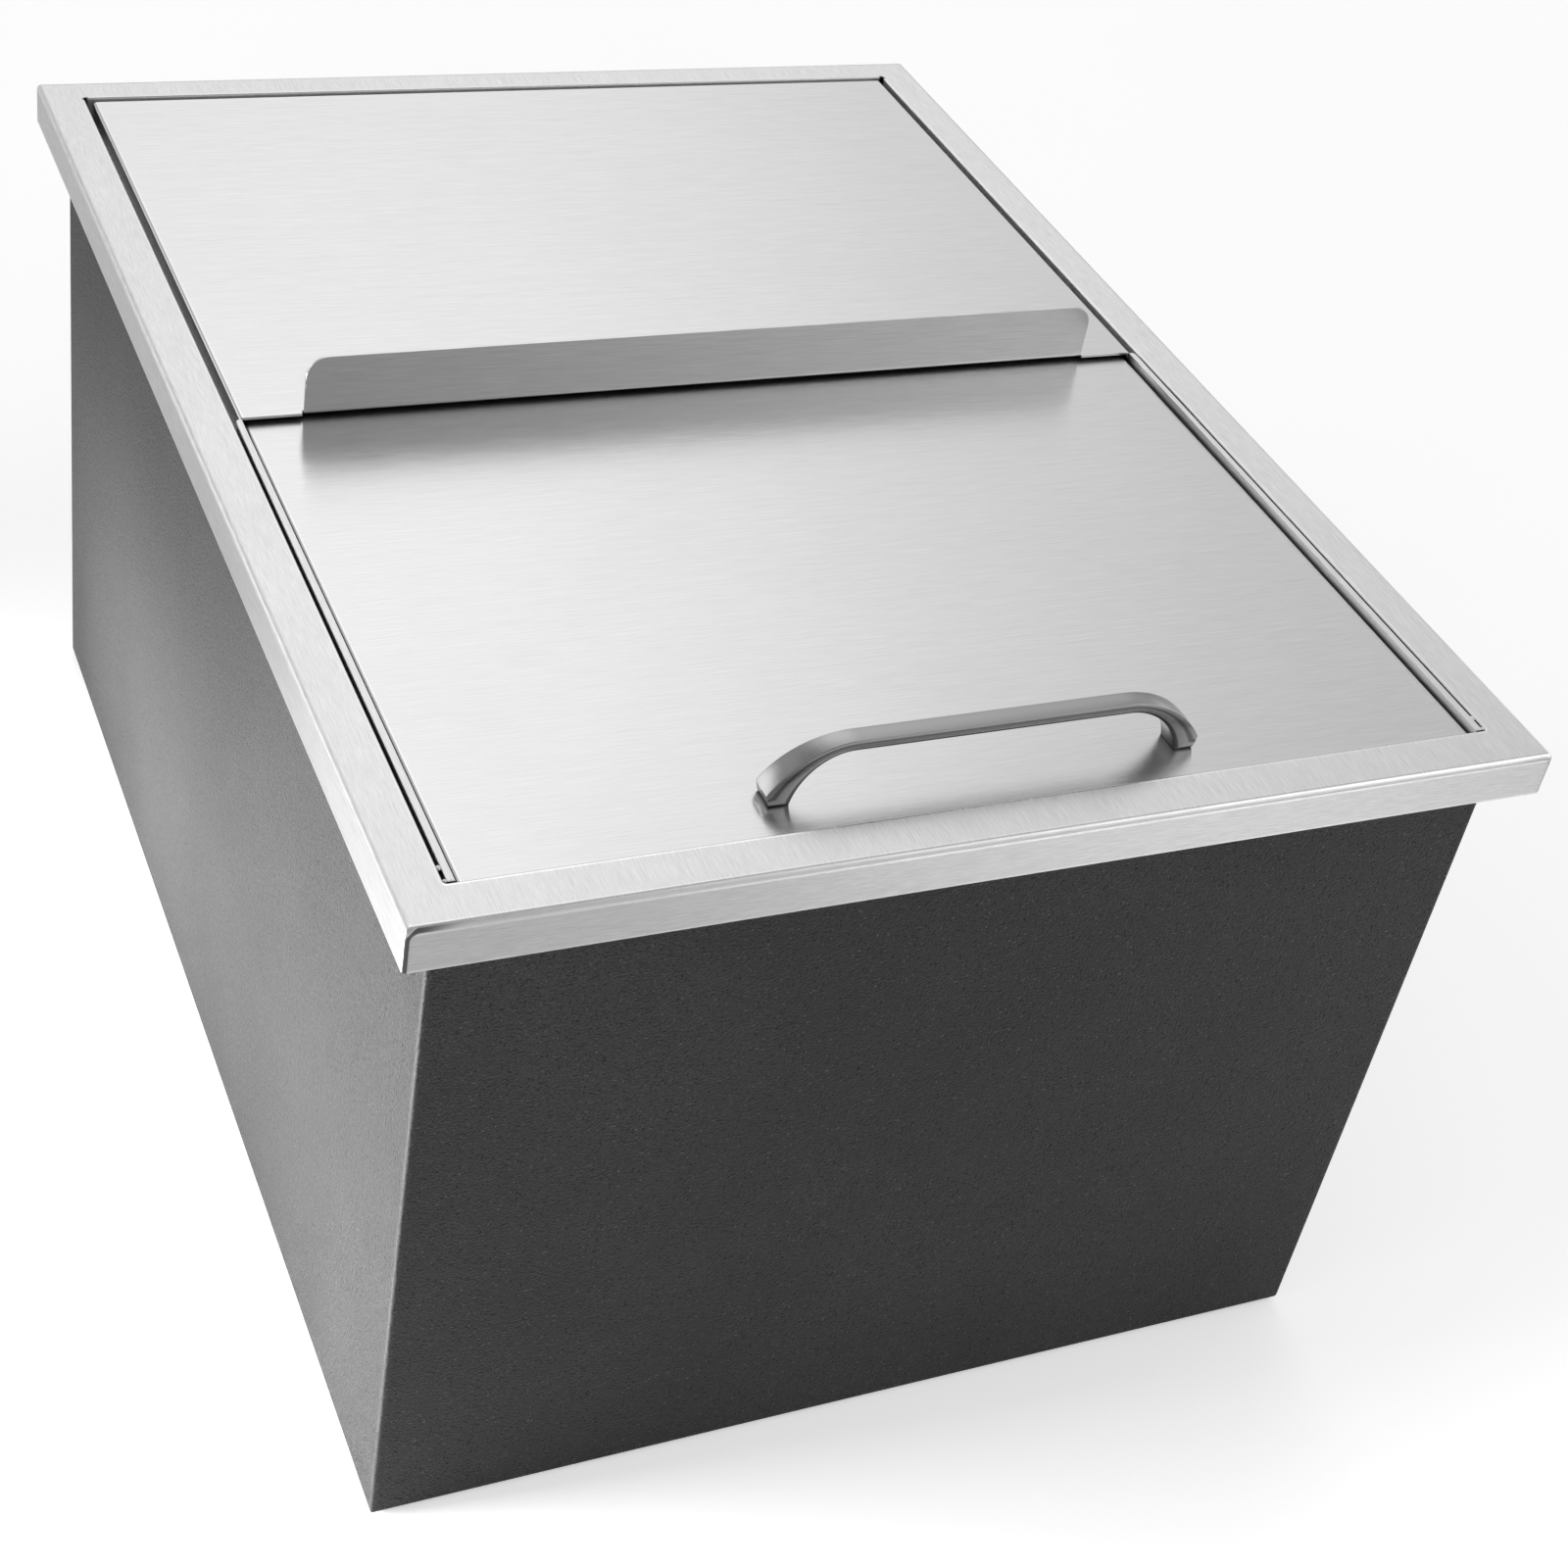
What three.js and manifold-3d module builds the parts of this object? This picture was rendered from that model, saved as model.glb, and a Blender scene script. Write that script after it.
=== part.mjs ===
// Drop in ice bin with a two piece sliding lid, 24 x 18 x 13 in.
// Millimetres. +Z is up, +X is right and -Y is the front, where the handle is.
// The origin is the centre of the rim, in the plane of its underside, which lies on the worktop.
import * as THREE from "three";
import { mergeVertices } from "three/addons/utils/BufferGeometryUtils.js";
import Module from "manifold-3d";

const wasm = await Module();
wasm.setup();

// Sheet, folds and clearances that several pieces share
const sheet = 1.2;
const foldRadius = 1.6;
const seatGap = 0.3;
const overrun = 5;
const leastRadius = 0.15;
const weldTolerance = 0.0001;
const arcSteps = 5;
const foldSteps = 3;
const coveSteps = 8;
const hexSides = 6;

// Rim, as it shows above the worktop
const rimWidth = 457;
const rimLength = 610;
const rimHeight = 19;
const rimCornerRadius = 1.6;
const rimBorderSide = 18.9;
const rimBorderFront = 20;
const rimBorderRear = 17;
const recessCornerRadius = 1.2;
const recessFoldRadius = 0.6;
const recessDepth = 14;
const cutoutClearance = 3;
const reliefDiameter = 3.2;

// Casing below the rim
const overallDepth = 330;
const bodyInsetSide = 13.7;
const bodyInsetFront = 14.5;
const bodyInsetRear = 7.5;
const bodyEdgeRadius = 1.2;
const bodyFoldRadius = 4;
const casingSheet = 1;

// Tub, its ledge and its floor
const ledgeWidth = 12;
const ledgeFoldRadius = 2.6;
const tubCornerRadius = 19;
const baseInsulation = 24;
const floorFall = 6;
const dishRadius = 38;
const dishFlat = 1;
const dishSlope = 3;
const dishDepth = 5;

// Guide rails beside the front lid
const railThickness = 2.8;
const railGap = 1.3;
const railEndGap = 0.5;
const railEndRadius = 2.2;
const railTopRadius = 0.6;

// Lids
const lidJoint = 1.5;
const lidCornerRadius = 2;
const rearLidSideGap = 3.2;
const rearLidRearGap = 3;
const nestGap = 1.2;
const frontLidGap = 0.5;
const frontLidDrop = 2.9;
const lidOverlap = 12;
const lipHeight = 25.4;
const lipWidth = 360;
const lipCornerRadius = 9.5;

// Bow handle on the front lid
const handleSetback = 21.7;
const handleRise = 23.8;
const handleThickness = 4.4;
const handleStraight = 108.6;
const handleArcRadius = 40;
const handleArcAngle = 58;
const handleInnerStraight = 110.6;
const handleInnerRadius = 23.5;
const handleDepth = 8.1;
const footDepth = 10.6;
const footHeel = 1.7;
const footEndSlip = 0.5;
const handleEdgeRadius = 0.5;
const handleSteps = 14;
const handleHolePitch = 164.8;
const handleHoleDepth = 8;

// M4 screws and washers of the handle
const screwShankDiameter = 3.8;
const screwHoleDiameter = 4.4;
const screwHeadDiameter = 7.2;
const screwHeadHeight = 2.4;
const screwHeadRound = 1;
const screwEngagement = 6.4;
const screwSides = 16;
const driveDiameter = 2.6;
const driveDepth = 1.3;
const washerDiameter = 9;
const washerThickness = 0.8;

// Drain fitting, one inch pipe size
const pipeDiameter = 33.2;
const pipeBore = 26;
const pipeHoleGap = 0.5;
const drainProjection = 38;
const pipeChamfer = 1.5;
const drainFlangeDiameter = 60;
const drainFlangeThickness = 3;
const drainFlangeRound = 1;
const strainerDiameter = 44;
const strainerThickness = 1.4;
const strainerHoleDiameter = 4.6;
const strainerRings = [
  { pitchDiameter: 16.5, holes: 6 },
  { pitchDiameter: 28.5, holes: 12 },
];
const crossbarWidth = 6;
const crossbarHeight = 6;
const crossbarBossDiameter = 9;
const strainerScrewLength = 5;
const gasketThickness = 1.5;
const drainWasherDiameter = 54;
const drainWasherThickness = 1.5;
const locknutAcrossFlats = 46;
const locknutHeight = 9;
const locknutChamfer = 1;
const pocketGap = 4;
const grommetFlangeDiameter = 50;
const grommetLip = 2.5;
const grommetGrooveDiameter = 41;
const drainSides = 32;

// Places worked out from the sizes above
const ledgeZ = rimHeight - recessDepth;
const bodyBottomZ = rimHeight - overallDepth;
const casingTopZ = rimHeight - sheet - seatGap;

// A rectangle with rounded corners, seen from above
function rectangle(x0, x1, y0, y1, radius) {
  return { x0, x1, y0, y1, radius };
}

const halfWidth = rimWidth / 2;
const halfLength = rimLength / 2;
const rim = rectangle(-halfWidth, halfWidth, -halfLength, halfLength, rimCornerRadius);
const recess = rectangle(
  rimBorderSide - halfWidth,
  halfWidth - rimBorderSide,
  rimBorderFront - halfLength,
  halfLength - rimBorderRear,
  recessCornerRadius,
);
const casing = rectangle(
  bodyInsetSide - halfWidth,
  halfWidth - bodyInsetSide,
  bodyInsetFront - halfLength,
  halfLength - bodyInsetRear,
  bodyEdgeRadius,
);
const tub = rectangle(
  recess.x0 + ledgeWidth,
  recess.x1 - ledgeWidth,
  recess.y0 + ledgeWidth,
  recess.y1 - ledgeWidth,
  tubCornerRadius,
);
const drainY = (tub.y0 + tub.y1) / 2;
const dishHalf = dishRadius + dishFlat / 2;
const dish = rectangle(-dishHalf, dishHalf, drainY - dishHalf, drainY + dishHalf, dishRadius);
const dishZ = bodyBottomZ + casingSheet + baseInsulation + sheet;
const floorLowZ = dishZ + dishDepth;
const floorEdgeZ = floorLowZ + floorFall;
const coveRadius = tubCornerRadius;
const pipeHole = pipeDiameter + 2 * pipeHoleGap;

const rearLidHalf = recess.x1 - rearLidSideGap;
const rearLid = rectangle(-rearLidHalf, rearLidHalf, lidJoint, recess.y1 - rearLidRearGap, lidCornerRadius);
const frontLidHalf = rearLidHalf - sheet - nestGap;
const frontLid = rectangle(
  -frontLidHalf,
  frontLidHalf,
  recess.y0 + frontLidGap,
  lidJoint + lidOverlap,
  lidCornerRadius,
);
const frontLidTopZ = rimHeight - frontLidDrop;
const handleY = frontLid.y0 + handleSetback;

// One level ring round a rectangle, moved in by inset, with every ring's points in the same order
function ring({ rect, inset, z }) {
  const radius = Math.max(rect.radius - inset, leastRadius);
  const corners = [
    [rect.x1 - inset - radius, rect.y1 - inset - radius],
    [rect.x0 + inset + radius, rect.y1 - inset - radius],
    [rect.x0 + inset + radius, rect.y0 + inset + radius],
    [rect.x1 - inset - radius, rect.y0 + inset + radius],
  ];
  const points = [];
  corners.forEach(([cx, cy], quarter) => {
    for (let i = 0; i <= arcSteps; i += 1) {
      const angle = (Math.PI / 2) * (quarter + i / arcSteps);
      points.push([cx + radius * Math.cos(angle), cy + radius * Math.sin(angle), z]);
    }
  });
  return points;
}

// The stations of a fold of the sheet: an arc about a centre at (inset, z), in degrees from level outwards
function fold(rect, inset, z, radius, from, to, steps = foldSteps) {
  return Array.from({ length: steps + 1 }, (_, i) => {
    const angle = THREE.MathUtils.degToRad(from + ((to - from) * i) / steps);
    return { rect, inset: inset - radius * Math.cos(angle), z: z + radius * Math.sin(angle) };
  });
}

// Skins a list of rings of equal length. A closed list makes a frame, an open one is capped at both ends.
function skin(rings, closed) {
  const count = rings[0].length;
  const index = [];
  const bands = closed ? rings.length : rings.length - 1;
  for (let band = 0; band < bands; band += 1) {
    const lower = band * count;
    const upper = ((band + 1) % rings.length) * count;
    for (let i = 0; i < count; i += 1) {
      const next = (i + 1) % count;
      index.push(lower + i, lower + next, upper + next, lower + i, upper + next, upper + i);
    }
  }
  if (!closed) {
    const last = (rings.length - 1) * count;
    for (let i = 1; i < count - 1; i += 1) {
      index.push(0, i + 1, i, last, last + i, last + i + 1);
    }
  }
  const geometry = new THREE.BufferGeometry();
  geometry.setAttribute("position", new THREE.Float32BufferAttribute(rings.flat(2), 3));
  geometry.setIndex(index);
  return geometry;
}

// Turns a closed geometry into a solid that can be joined and cut
function solid(geometry) {
  const bare = geometry.clone();
  bare.deleteAttribute("normal");
  bare.deleteAttribute("uv");
  const merged = mergeVertices(bare, weldTolerance);
  const vertProperties = merged.getAttribute("position").array;
  const triVerts = new Uint32Array(merged.index.array);
  const made = new wasm.Manifold(new wasm.Mesh({ numProp: 3, vertProperties, triVerts }));
  if (made.volume() >= 0) return made;
  for (let i = 0; i < triVerts.length; i += 3) {
    [triVerts[i + 1], triVerts[i + 2]] = [triVerts[i + 2], triVerts[i + 1]];
  }
  return new wasm.Manifold(new wasm.Mesh({ numProp: 3, vertProperties, triVerts }));
}

// Turns a solid back into a geometry with flat faces
function geometryOf(made) {
  const mesh = made.getMesh();
  const geometry = new THREE.BufferGeometry();
  geometry.setAttribute("position", new THREE.BufferAttribute(mesh.vertProperties, mesh.numProp));
  geometry.setIndex(new THREE.BufferAttribute(mesh.triVerts, 1));
  const flat = geometry.toNonIndexed();
  flat.computeVertexNormals();
  return flat;
}

// A pan, lid or tub: level rings from one closed face round the edge to the other
function pan(stations) {
  return solid(skin(stations.map(ring), false));
}

// A folded frame: level rings round a closed section
function frame(stations) {
  return solid(skin(stations.map(ring), true));
}

// An upright round bar between two heights
function bar(diameter, z0, z1, x, y, sides) {
  const geometry = new THREE.CylinderGeometry(diameter / 2, diameter / 2, z1 - z0, sides);
  geometry.rotateX(Math.PI / 2);
  geometry.translate(x, y, (z0 + z1) / 2);
  return solid(geometry);
}

// A block between two corners
function block(x0, x1, y0, y1, z0, z1) {
  const geometry = new THREE.BoxGeometry(x1 - x0, y1 - y0, z1 - z0);
  geometry.translate((x0 + x1) / 2, (y0 + y1) / 2, (z0 + z1) / 2);
  return solid(geometry);
}

// A section of [radius, z] points turned about the upright axis of the drain or of a screw
function turned(section, x, y, sides) {
  const points = section.map(([radius, z]) => new THREE.Vector2(radius, z));
  const geometry = new THREE.LatheGeometry(points, sides);
  geometry.rotateX(Math.PI / 2);
  geometry.translate(x, y, 0);
  return solid(geometry);
}

// Rim: top flange, outer drop with a return on the worktop, and an inner drop down to the ledge
function makeRim() {
  const high = rimHeight - foldRadius;
  const inner = foldRadius - sheet;
  const stations = [
    { rect: rim, inset: 0, z: 0 },
    ...fold(rim, foldRadius, high, foldRadius, 0, 90),
    ...fold(recess, -recessFoldRadius, rimHeight - recessFoldRadius, -recessFoldRadius, -90, 0),
    { rect: recess, inset: 0, z: ledgeZ },
    { rect: recess, inset: -sheet, z: ledgeZ },
    { rect: recess, inset: -sheet, z: rimHeight - sheet },
    ...fold(rim, foldRadius, high, inner, 90, 0),
    { rect: rim, inset: sheet, z: sheet },
    { rect: casing, inset: -cutoutClearance, z: sheet },
    { rect: casing, inset: -cutoutClearance, z: 0 },
  ];
  let made = frame(stations);
  for (const x of [recess.x0, recess.x1]) {
    for (const y of [recess.y0, recess.y1]) {
      made = made.subtract(bar(reliefDiameter, ledgeZ - overrun, rimHeight + overrun, x, y, screwSides));
    }
  }
  return made;
}

// Tub: ledge, walls, coved floor edge, a floor that falls to the dish, and the hole for the drain
function makeTub() {
  const coveZ = floorEdgeZ + coveRadius;
  const ledgeFoldZ = ledgeZ - ledgeFoldRadius;
  const stations = [
    { rect: dish, inset: dishSlope, z: dishZ },
    { rect: dish, inset: 0, z: floorLowZ },
    ...fold(tub, coveRadius, coveZ, coveRadius, -90, 0, coveSteps),
    ...fold(tub, -ledgeFoldRadius, ledgeFoldZ, -ledgeFoldRadius, 0, -90),
    { rect: recess, inset: -sheet, z: ledgeZ },
    { rect: recess, inset: -sheet, z: ledgeZ - sheet },
    ...fold(tub, -ledgeFoldRadius, ledgeFoldZ, sheet - ledgeFoldRadius, -90, 0),
    ...fold(tub, coveRadius, coveZ, coveRadius + sheet, 0, -90, coveSteps),
    { rect: dish, inset: 0, z: floorLowZ - sheet },
    { rect: dish, inset: dishSlope, z: dishZ - sheet },
  ];
  return pan(stations).subtract(bar(pipeHole, dishZ - overrun, dishZ + overrun, 0, drainY, drainSides));
}

// Casing: a deep pan up to the underside of the rim, with the hole that the grommet lines
function makeCasing() {
  const low = bodyBottomZ + bodyFoldRadius;
  const stations = [
    ...fold(casing, bodyFoldRadius, low, bodyFoldRadius, -90, 0),
    { rect: casing, inset: 0, z: casingTopZ },
    { rect: casing, inset: casingSheet, z: casingTopZ },
    ...fold(casing, bodyFoldRadius, low, bodyFoldRadius - casingSheet, 0, -90),
  ];
  const holeDiameter = grommetGrooveDiameter + 2 * seatGap;
  return pan(stations).subtract(
    bar(holeDiameter, bodyBottomZ - overrun, bodyBottomZ + overrun, 0, drainY, drainSides),
  );
}

// Insulation: the foam between casing and tub, with a pocket round the locknut and a hole for the pipe
function makeInsulation() {
  const outerInset = casingSheet + seatGap;
  const outerRadius = bodyFoldRadius - outerInset;
  const innerInset = sheet + seatGap;
  const low = bodyBottomZ + bodyFoldRadius;
  const coveZ = floorEdgeZ + coveRadius;
  const ledgeFoldZ = ledgeZ - ledgeFoldRadius;
  const foamTopZ = ledgeZ - innerInset;
  const stations = [
    ...fold(casing, bodyFoldRadius, low, outerRadius, -90, 0),
    { rect: casing, inset: outerInset, z: foamTopZ },
    ...fold(tub, -ledgeFoldRadius, ledgeFoldZ, innerInset - ledgeFoldRadius, -90, 0),
    ...fold(tub, coveRadius, coveZ, coveRadius + innerInset, 0, -90, coveSteps),
    { rect: dish, inset: -seatGap, z: floorLowZ - innerInset },
    { rect: dish, inset: dishSlope - seatGap, z: dishZ - innerInset },
  ];
  const pocketRadius = locknutAcrossFlats / Math.sqrt(3) + pocketGap;
  const pocketFloorZ = dishZ - sheet - drainWasherThickness - locknutHeight - pocketGap;
  const holeRadius = grommetFlangeDiameter / 2 + pocketGap / 2;
  const cut = [
    [0, bodyBottomZ - overrun],
    [holeRadius, bodyBottomZ - overrun],
    [holeRadius, pocketFloorZ],
    [pocketRadius, pocketFloorZ],
    [pocketRadius, dishZ + overrun],
    [0, dishZ + overrun],
  ];
  return pan(stations).subtract(turned(cut, 0, drainY, drainSides));
}

// Guide rail: an upright strip on the ledge, flush with the rim, with its outer rear corner rounded off
function makeRail(side) {
  const outer = recess.x1 - railGap;
  const inner = outer - railThickness;
  const front = recess.y0 + railEndGap;
  const rear = lidJoint - railEndGap;
  const outline = new THREE.Shape();
  outline.moveTo(inner, front);
  outline.lineTo(outer, front);
  outline.lineTo(outer, rear - railEndRadius);
  outline.absarc(outer - railEndRadius, rear - railEndRadius, railEndRadius, 0, Math.PI / 2, false);
  outline.lineTo(inner, rear);
  outline.closePath();
  const geometry = new THREE.ExtrudeGeometry(outline, {
    depth: recessDepth,
    bevelEnabled: false,
    curveSegments: arcSteps,
  });
  geometry.translate(0, 0, ledgeZ);
  const section = new THREE.Shape();
  section.moveTo(inner, ledgeZ);
  section.lineTo(outer, ledgeZ);
  section.lineTo(outer, rimHeight - railTopRadius);
  section.absarc(outer - railTopRadius, rimHeight - railTopRadius, railTopRadius, 0, Math.PI / 2, false);
  section.lineTo(inner + railTopRadius, rimHeight);
  section.absarc(inner + railTopRadius, rimHeight - railTopRadius, railTopRadius, Math.PI / 2, Math.PI, false);
  section.closePath();
  const length = rear - front + 2 * overrun;
  const strip = new THREE.ExtrudeGeometry(section, {
    depth: length,
    bevelEnabled: false,
    curveSegments: foldSteps,
  });
  strip.rotateX(Math.PI / 2);
  strip.translate(0, rear + overrun, 0);
  const made = solid(geometry).intersect(solid(strip));
  return side < 0 ? made.mirror([1, 0, 0]) : made;
}

// A lid: a shallow pan turned over, whose edges are folded down to the ledge
function makeLidPan(rect, topZ) {
  const high = topZ - foldRadius;
  const foot = ledgeZ + seatGap;
  return pan([
    ...fold(rect, foldRadius, high, foldRadius, 90, 0),
    { rect, inset: 0, z: foot },
    { rect, inset: sheet, z: foot },
    ...fold(rect, foldRadius, high, foldRadius - sheet, 0, 90),
  ]);
}

// Rear lid: no fold along its front edge, where the sheet turns up into the lip instead
function makeRearLid() {
  const longer = { ...rearLid, y0: rearLid.y0 - lipHeight };
  const far = rearLidHalf + overrun;
  const below = ledgeZ - overrun;
  const frontCut = block(-far, far, longer.y0 - overrun, lidJoint, below, rimHeight + overrun);
  const half = lipWidth / 2;
  const bend = foldRadius + sheet;
  const lipCut = block(-half, half, longer.y0 - overrun, lidJoint + bend, below, rimHeight + overrun);
  const underZ = rimHeight - sheet;
  const section = new THREE.Shape();
  section.moveTo(lidJoint + bend, underZ);
  section.lineTo(lidJoint + bend, rimHeight);
  section.absarc(lidJoint + bend, rimHeight + foldRadius, foldRadius, -Math.PI / 2, -Math.PI, true);
  section.lineTo(lidJoint + sheet, rimHeight + lipHeight);
  section.lineTo(lidJoint, rimHeight + lipHeight);
  section.lineTo(lidJoint, rimHeight + foldRadius);
  section.absarc(lidJoint + bend, rimHeight + foldRadius, bend, Math.PI, (Math.PI * 3) / 2, false);
  const lip = new THREE.ExtrudeGeometry(section, {
    depth: lipWidth,
    bevelEnabled: false,
    curveSegments: arcSteps,
  });
  // The section's first axis becomes Y and its second Z
  lip.rotateX(Math.PI / 2);
  lip.rotateZ(Math.PI / 2);
  lip.translate(-half, 0, 0);
  const lipTop = rimHeight + lipHeight;
  const face = new THREE.Shape();
  face.moveTo(-half, underZ - overrun);
  face.lineTo(half, underZ - overrun);
  face.lineTo(half, lipTop - lipCornerRadius);
  face.absarc(half - lipCornerRadius, lipTop - lipCornerRadius, lipCornerRadius, 0, Math.PI / 2, false);
  face.lineTo(lipCornerRadius - half, lipTop);
  face.absarc(lipCornerRadius - half, lipTop - lipCornerRadius, lipCornerRadius, Math.PI / 2, Math.PI, false);
  face.closePath();
  const trim = new THREE.ExtrudeGeometry(face, {
    depth: bend + 2 * overrun,
    bevelEnabled: false,
    curveSegments: arcSteps + foldSteps,
  });
  trim.rotateX(Math.PI / 2);
  trim.translate(0, lidJoint + bend + overrun, 0);
  const lipSolid = solid(lip).intersect(solid(trim));
  return makeLidPan(longer, rimHeight).subtract(frontCut).subtract(lipCut).add(lipSolid);
}

// Front lid: folded down all round, with two holes for the handle's screws
function makeFrontLid() {
  let made = makeLidPan(frontLid, frontLidTopZ);
  for (const side of [-1, 1]) {
    const x = (side * handleHolePitch) / 2;
    made = made.subtract(
      bar(screwHoleDiameter, frontLidTopZ - overrun, frontLidTopZ + overrun, x, handleY, screwSides),
    );
  }
  return made;
}

// One rounded section of the handle between a point on its top line and one on its underside
function handleSection(top, under, depth) {
  const span = new THREE.Vector2().subVectors(top, under);
  const height = span.length();
  const along = span.normalize();
  const middle = new THREE.Vector2().addVectors(top, under).multiplyScalar(1 / 2);
  const radius = Math.min(handleEdgeRadius, height / 4);
  const corners = [
    [depth / 2 - radius, height / 2 - radius],
    [radius - depth / 2, height / 2 - radius],
    [radius - depth / 2, radius - height / 2],
    [depth / 2 - radius, radius - height / 2],
  ];
  const points = [];
  corners.forEach(([cy, cz], quarter) => {
    for (let i = 0; i <= foldSteps; i += 1) {
      const angle = (Math.PI / 2) * (quarter + i / foldSteps);
      const across = cy + radius * Math.cos(angle);
      const up = cz + radius * Math.sin(angle);
      points.push([middle.x + along.x * up, handleY + across, frontLidTopZ + middle.y + along.y * up]);
    }
  });
  return points;
}

// Bow handle: two arcs joined by a straight bar, lofted, deeper at its feet, with a flat underfoot
function makeHandle() {
  const topHalf = handleStraight / 2;
  const underHalf = handleInnerStraight / 2;
  const underRise = handleRise - handleThickness;
  const underAngle = Math.acos(1 - underRise / handleInnerRadius);
  const topAngle = THREE.MathUtils.degToRad(handleArcAngle);
  const topAt = (share) => {
    const angle = topAngle * share;
    return new THREE.Vector2(
      topHalf + handleArcRadius * Math.sin(angle),
      handleRise - handleArcRadius * (1 - Math.cos(angle)),
    );
  };
  const underAt = (share) => {
    const angle = underAngle * share;
    return new THREE.Vector2(
      underHalf + handleInnerRadius * Math.sin(angle),
      underRise - handleInnerRadius * (1 - Math.cos(angle)),
    );
  };
  const half = [];
  for (let i = 0; i <= handleSteps; i += 1) {
    const share = i / handleSteps;
    const depth = handleDepth + (footDepth - handleDepth) * THREE.MathUtils.smoothstep(share, 0, 1);
    half.push({ top: topAt(share), under: underAt(share), depth });
  }
  const tip = topAt(1);
  const toe = underAt(1);
  const heel = new THREE.Vector2(tip.x - footHeel, 0);
  for (let i = 1; i <= foldSteps; i += 1) {
    const share = i / foldSteps;
    const top = tip.clone().lerp(heel, (footEndSlip * share) / tip.y);
    half.push({ top, under: toe.clone().lerp(heel, share), depth: footDepth });
  }
  const mirrored = (point) => new THREE.Vector2(-point.x, point.y);
  const stations = [
    ...half.map(({ top, under, depth }) => ({ top: mirrored(top), under: mirrored(under), depth })).reverse(),
    ...half,
  ];
  let made = solid(skin(stations.map((s) => handleSection(s.top, s.under, s.depth)), false));
  for (const side of [-1, 1]) {
    const x = (side * handleHolePitch) / 2;
    made = made.subtract(
      bar(screwHoleDiameter, frontLidTopZ - overrun, frontLidTopZ + handleHoleDepth, x, handleY, screwSides),
    );
  }
  return made;
}

// A screw that points up or down: round head with a drive recess, and a plain shank for the thread
function makeScrew(x, y, seatZ, direction, length) {
  const head = screwHeadDiameter / 2;
  const shank = screwShankDiameter / 2;
  const away = (distance) => seatZ + direction * distance;
  const section = [
    [0, away(length)],
    [shank, away(length)],
    [shank, away(0)],
    [head, away(0)],
    [head, away(screwHeadRound - screwHeadHeight)],
    [head - screwHeadRound, away(-screwHeadHeight)],
    [0, away(-screwHeadHeight)],
  ];
  const drive = [away(driveDepth - screwHeadHeight), away(-screwHeadHeight - overrun)].sort((a, b) => a - b);
  const made = turned(section, x, y, screwSides);
  return made.subtract(bar(driveDiameter, drive[0], drive[1], x, y, hexSides));
}

// A flat ring round an upright axis
function makeWasher(outerDiameter, innerDiameter, z0, z1, x, y, sides) {
  const section = [
    [innerDiameter / 2, z0],
    [outerDiameter / 2, z0],
    [outerDiameter / 2, z1],
    [innerDiameter / 2, z1],
    [innerDiameter / 2, z0],
  ];
  return turned(section, x, y, sides);
}

// Drain heights, from the dish up and down
const flangeUnderZ = dishZ + gasketThickness;
const flangeTopZ = flangeUnderZ + drainFlangeThickness;
const strainerSeatZ = flangeTopZ - strainerThickness;
const pipeEndZ = bodyBottomZ - drainProjection;
const washerTopZ = dishZ - sheet;
const washerUnderZ = washerTopZ - drainWasherThickness;

// Spigot: flange with a seat for the strainer, pipe, and a crossbar whose boss takes the strainer screw
function makeSpigot() {
  const pipe = pipeDiameter / 2;
  const bore = pipeBore / 2;
  const flange = drainFlangeDiameter / 2;
  const seat = strainerDiameter / 2 + seatGap;
  const section = [
    [bore, pipeEndZ],
    [pipe - pipeChamfer, pipeEndZ],
    [pipe, pipeEndZ + pipeChamfer],
    [pipe, flangeUnderZ],
    [flange, flangeUnderZ],
    [flange, flangeTopZ - drainFlangeRound],
    [flange - drainFlangeRound, flangeTopZ],
    [seat, flangeTopZ],
    [seat, strainerSeatZ],
    [bore, strainerSeatZ],
    [bore, pipeEndZ],
  ];
  const barLowZ = strainerSeatZ - crossbarHeight;
  const barHalf = crossbarWidth / 2;
  const reach = bore + (pipe - bore) / 2;
  const crossbar = block(-reach, reach, drainY - barHalf, drainY + barHalf, barLowZ, strainerSeatZ - seatGap);
  const boss = bar(crossbarBossDiameter, barLowZ, strainerSeatZ - seatGap, 0, drainY, screwSides);
  const hole = bar(screwHoleDiameter, barLowZ - overrun, strainerSeatZ + overrun, 0, drainY, screwSides);
  return turned(section, 0, drainY, drainSides).add(crossbar).add(boss).subtract(hole);
}

// Strainer: a flat plate with two rings of holes and one for its screw
function makeStrainer() {
  let made = bar(strainerDiameter, strainerSeatZ, flangeTopZ, 0, drainY, drainSides);
  made = made.subtract(
    bar(screwHoleDiameter, strainerSeatZ - overrun, flangeTopZ + overrun, 0, drainY, screwSides),
  );
  for (const { pitchDiameter, holes } of strainerRings) {
    for (let i = 0; i < holes; i += 1) {
      const angle = (2 * Math.PI * i) / holes;
      const x = (pitchDiameter / 2) * Math.cos(angle);
      const y = drainY + (pitchDiameter / 2) * Math.sin(angle);
      made = made.subtract(
        bar(strainerHoleDiameter, strainerSeatZ - overrun, flangeTopZ + overrun, x, y, screwSides / 2),
      );
    }
  }
  return made;
}

// Locknut: a hexagon whose corners are turned off at both ends
function makeLocknut() {
  const corner = locknutAcrossFlats / Math.sqrt(3);
  const topZ = washerUnderZ;
  const lowZ = topZ - locknutHeight;
  const inner = pipeHole / 2;
  const section = [
    [inner, lowZ],
    [corner - locknutChamfer, lowZ],
    [corner, lowZ + locknutChamfer],
    [corner, topZ - locknutChamfer],
    [corner - locknutChamfer, topZ],
    [inner, topZ],
    [inner, lowZ],
  ];
  return turned(section, 0, drainY, drainSides).intersect(bar(2 * corner, lowZ, topZ, 0, drainY, hexSides));
}

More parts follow.
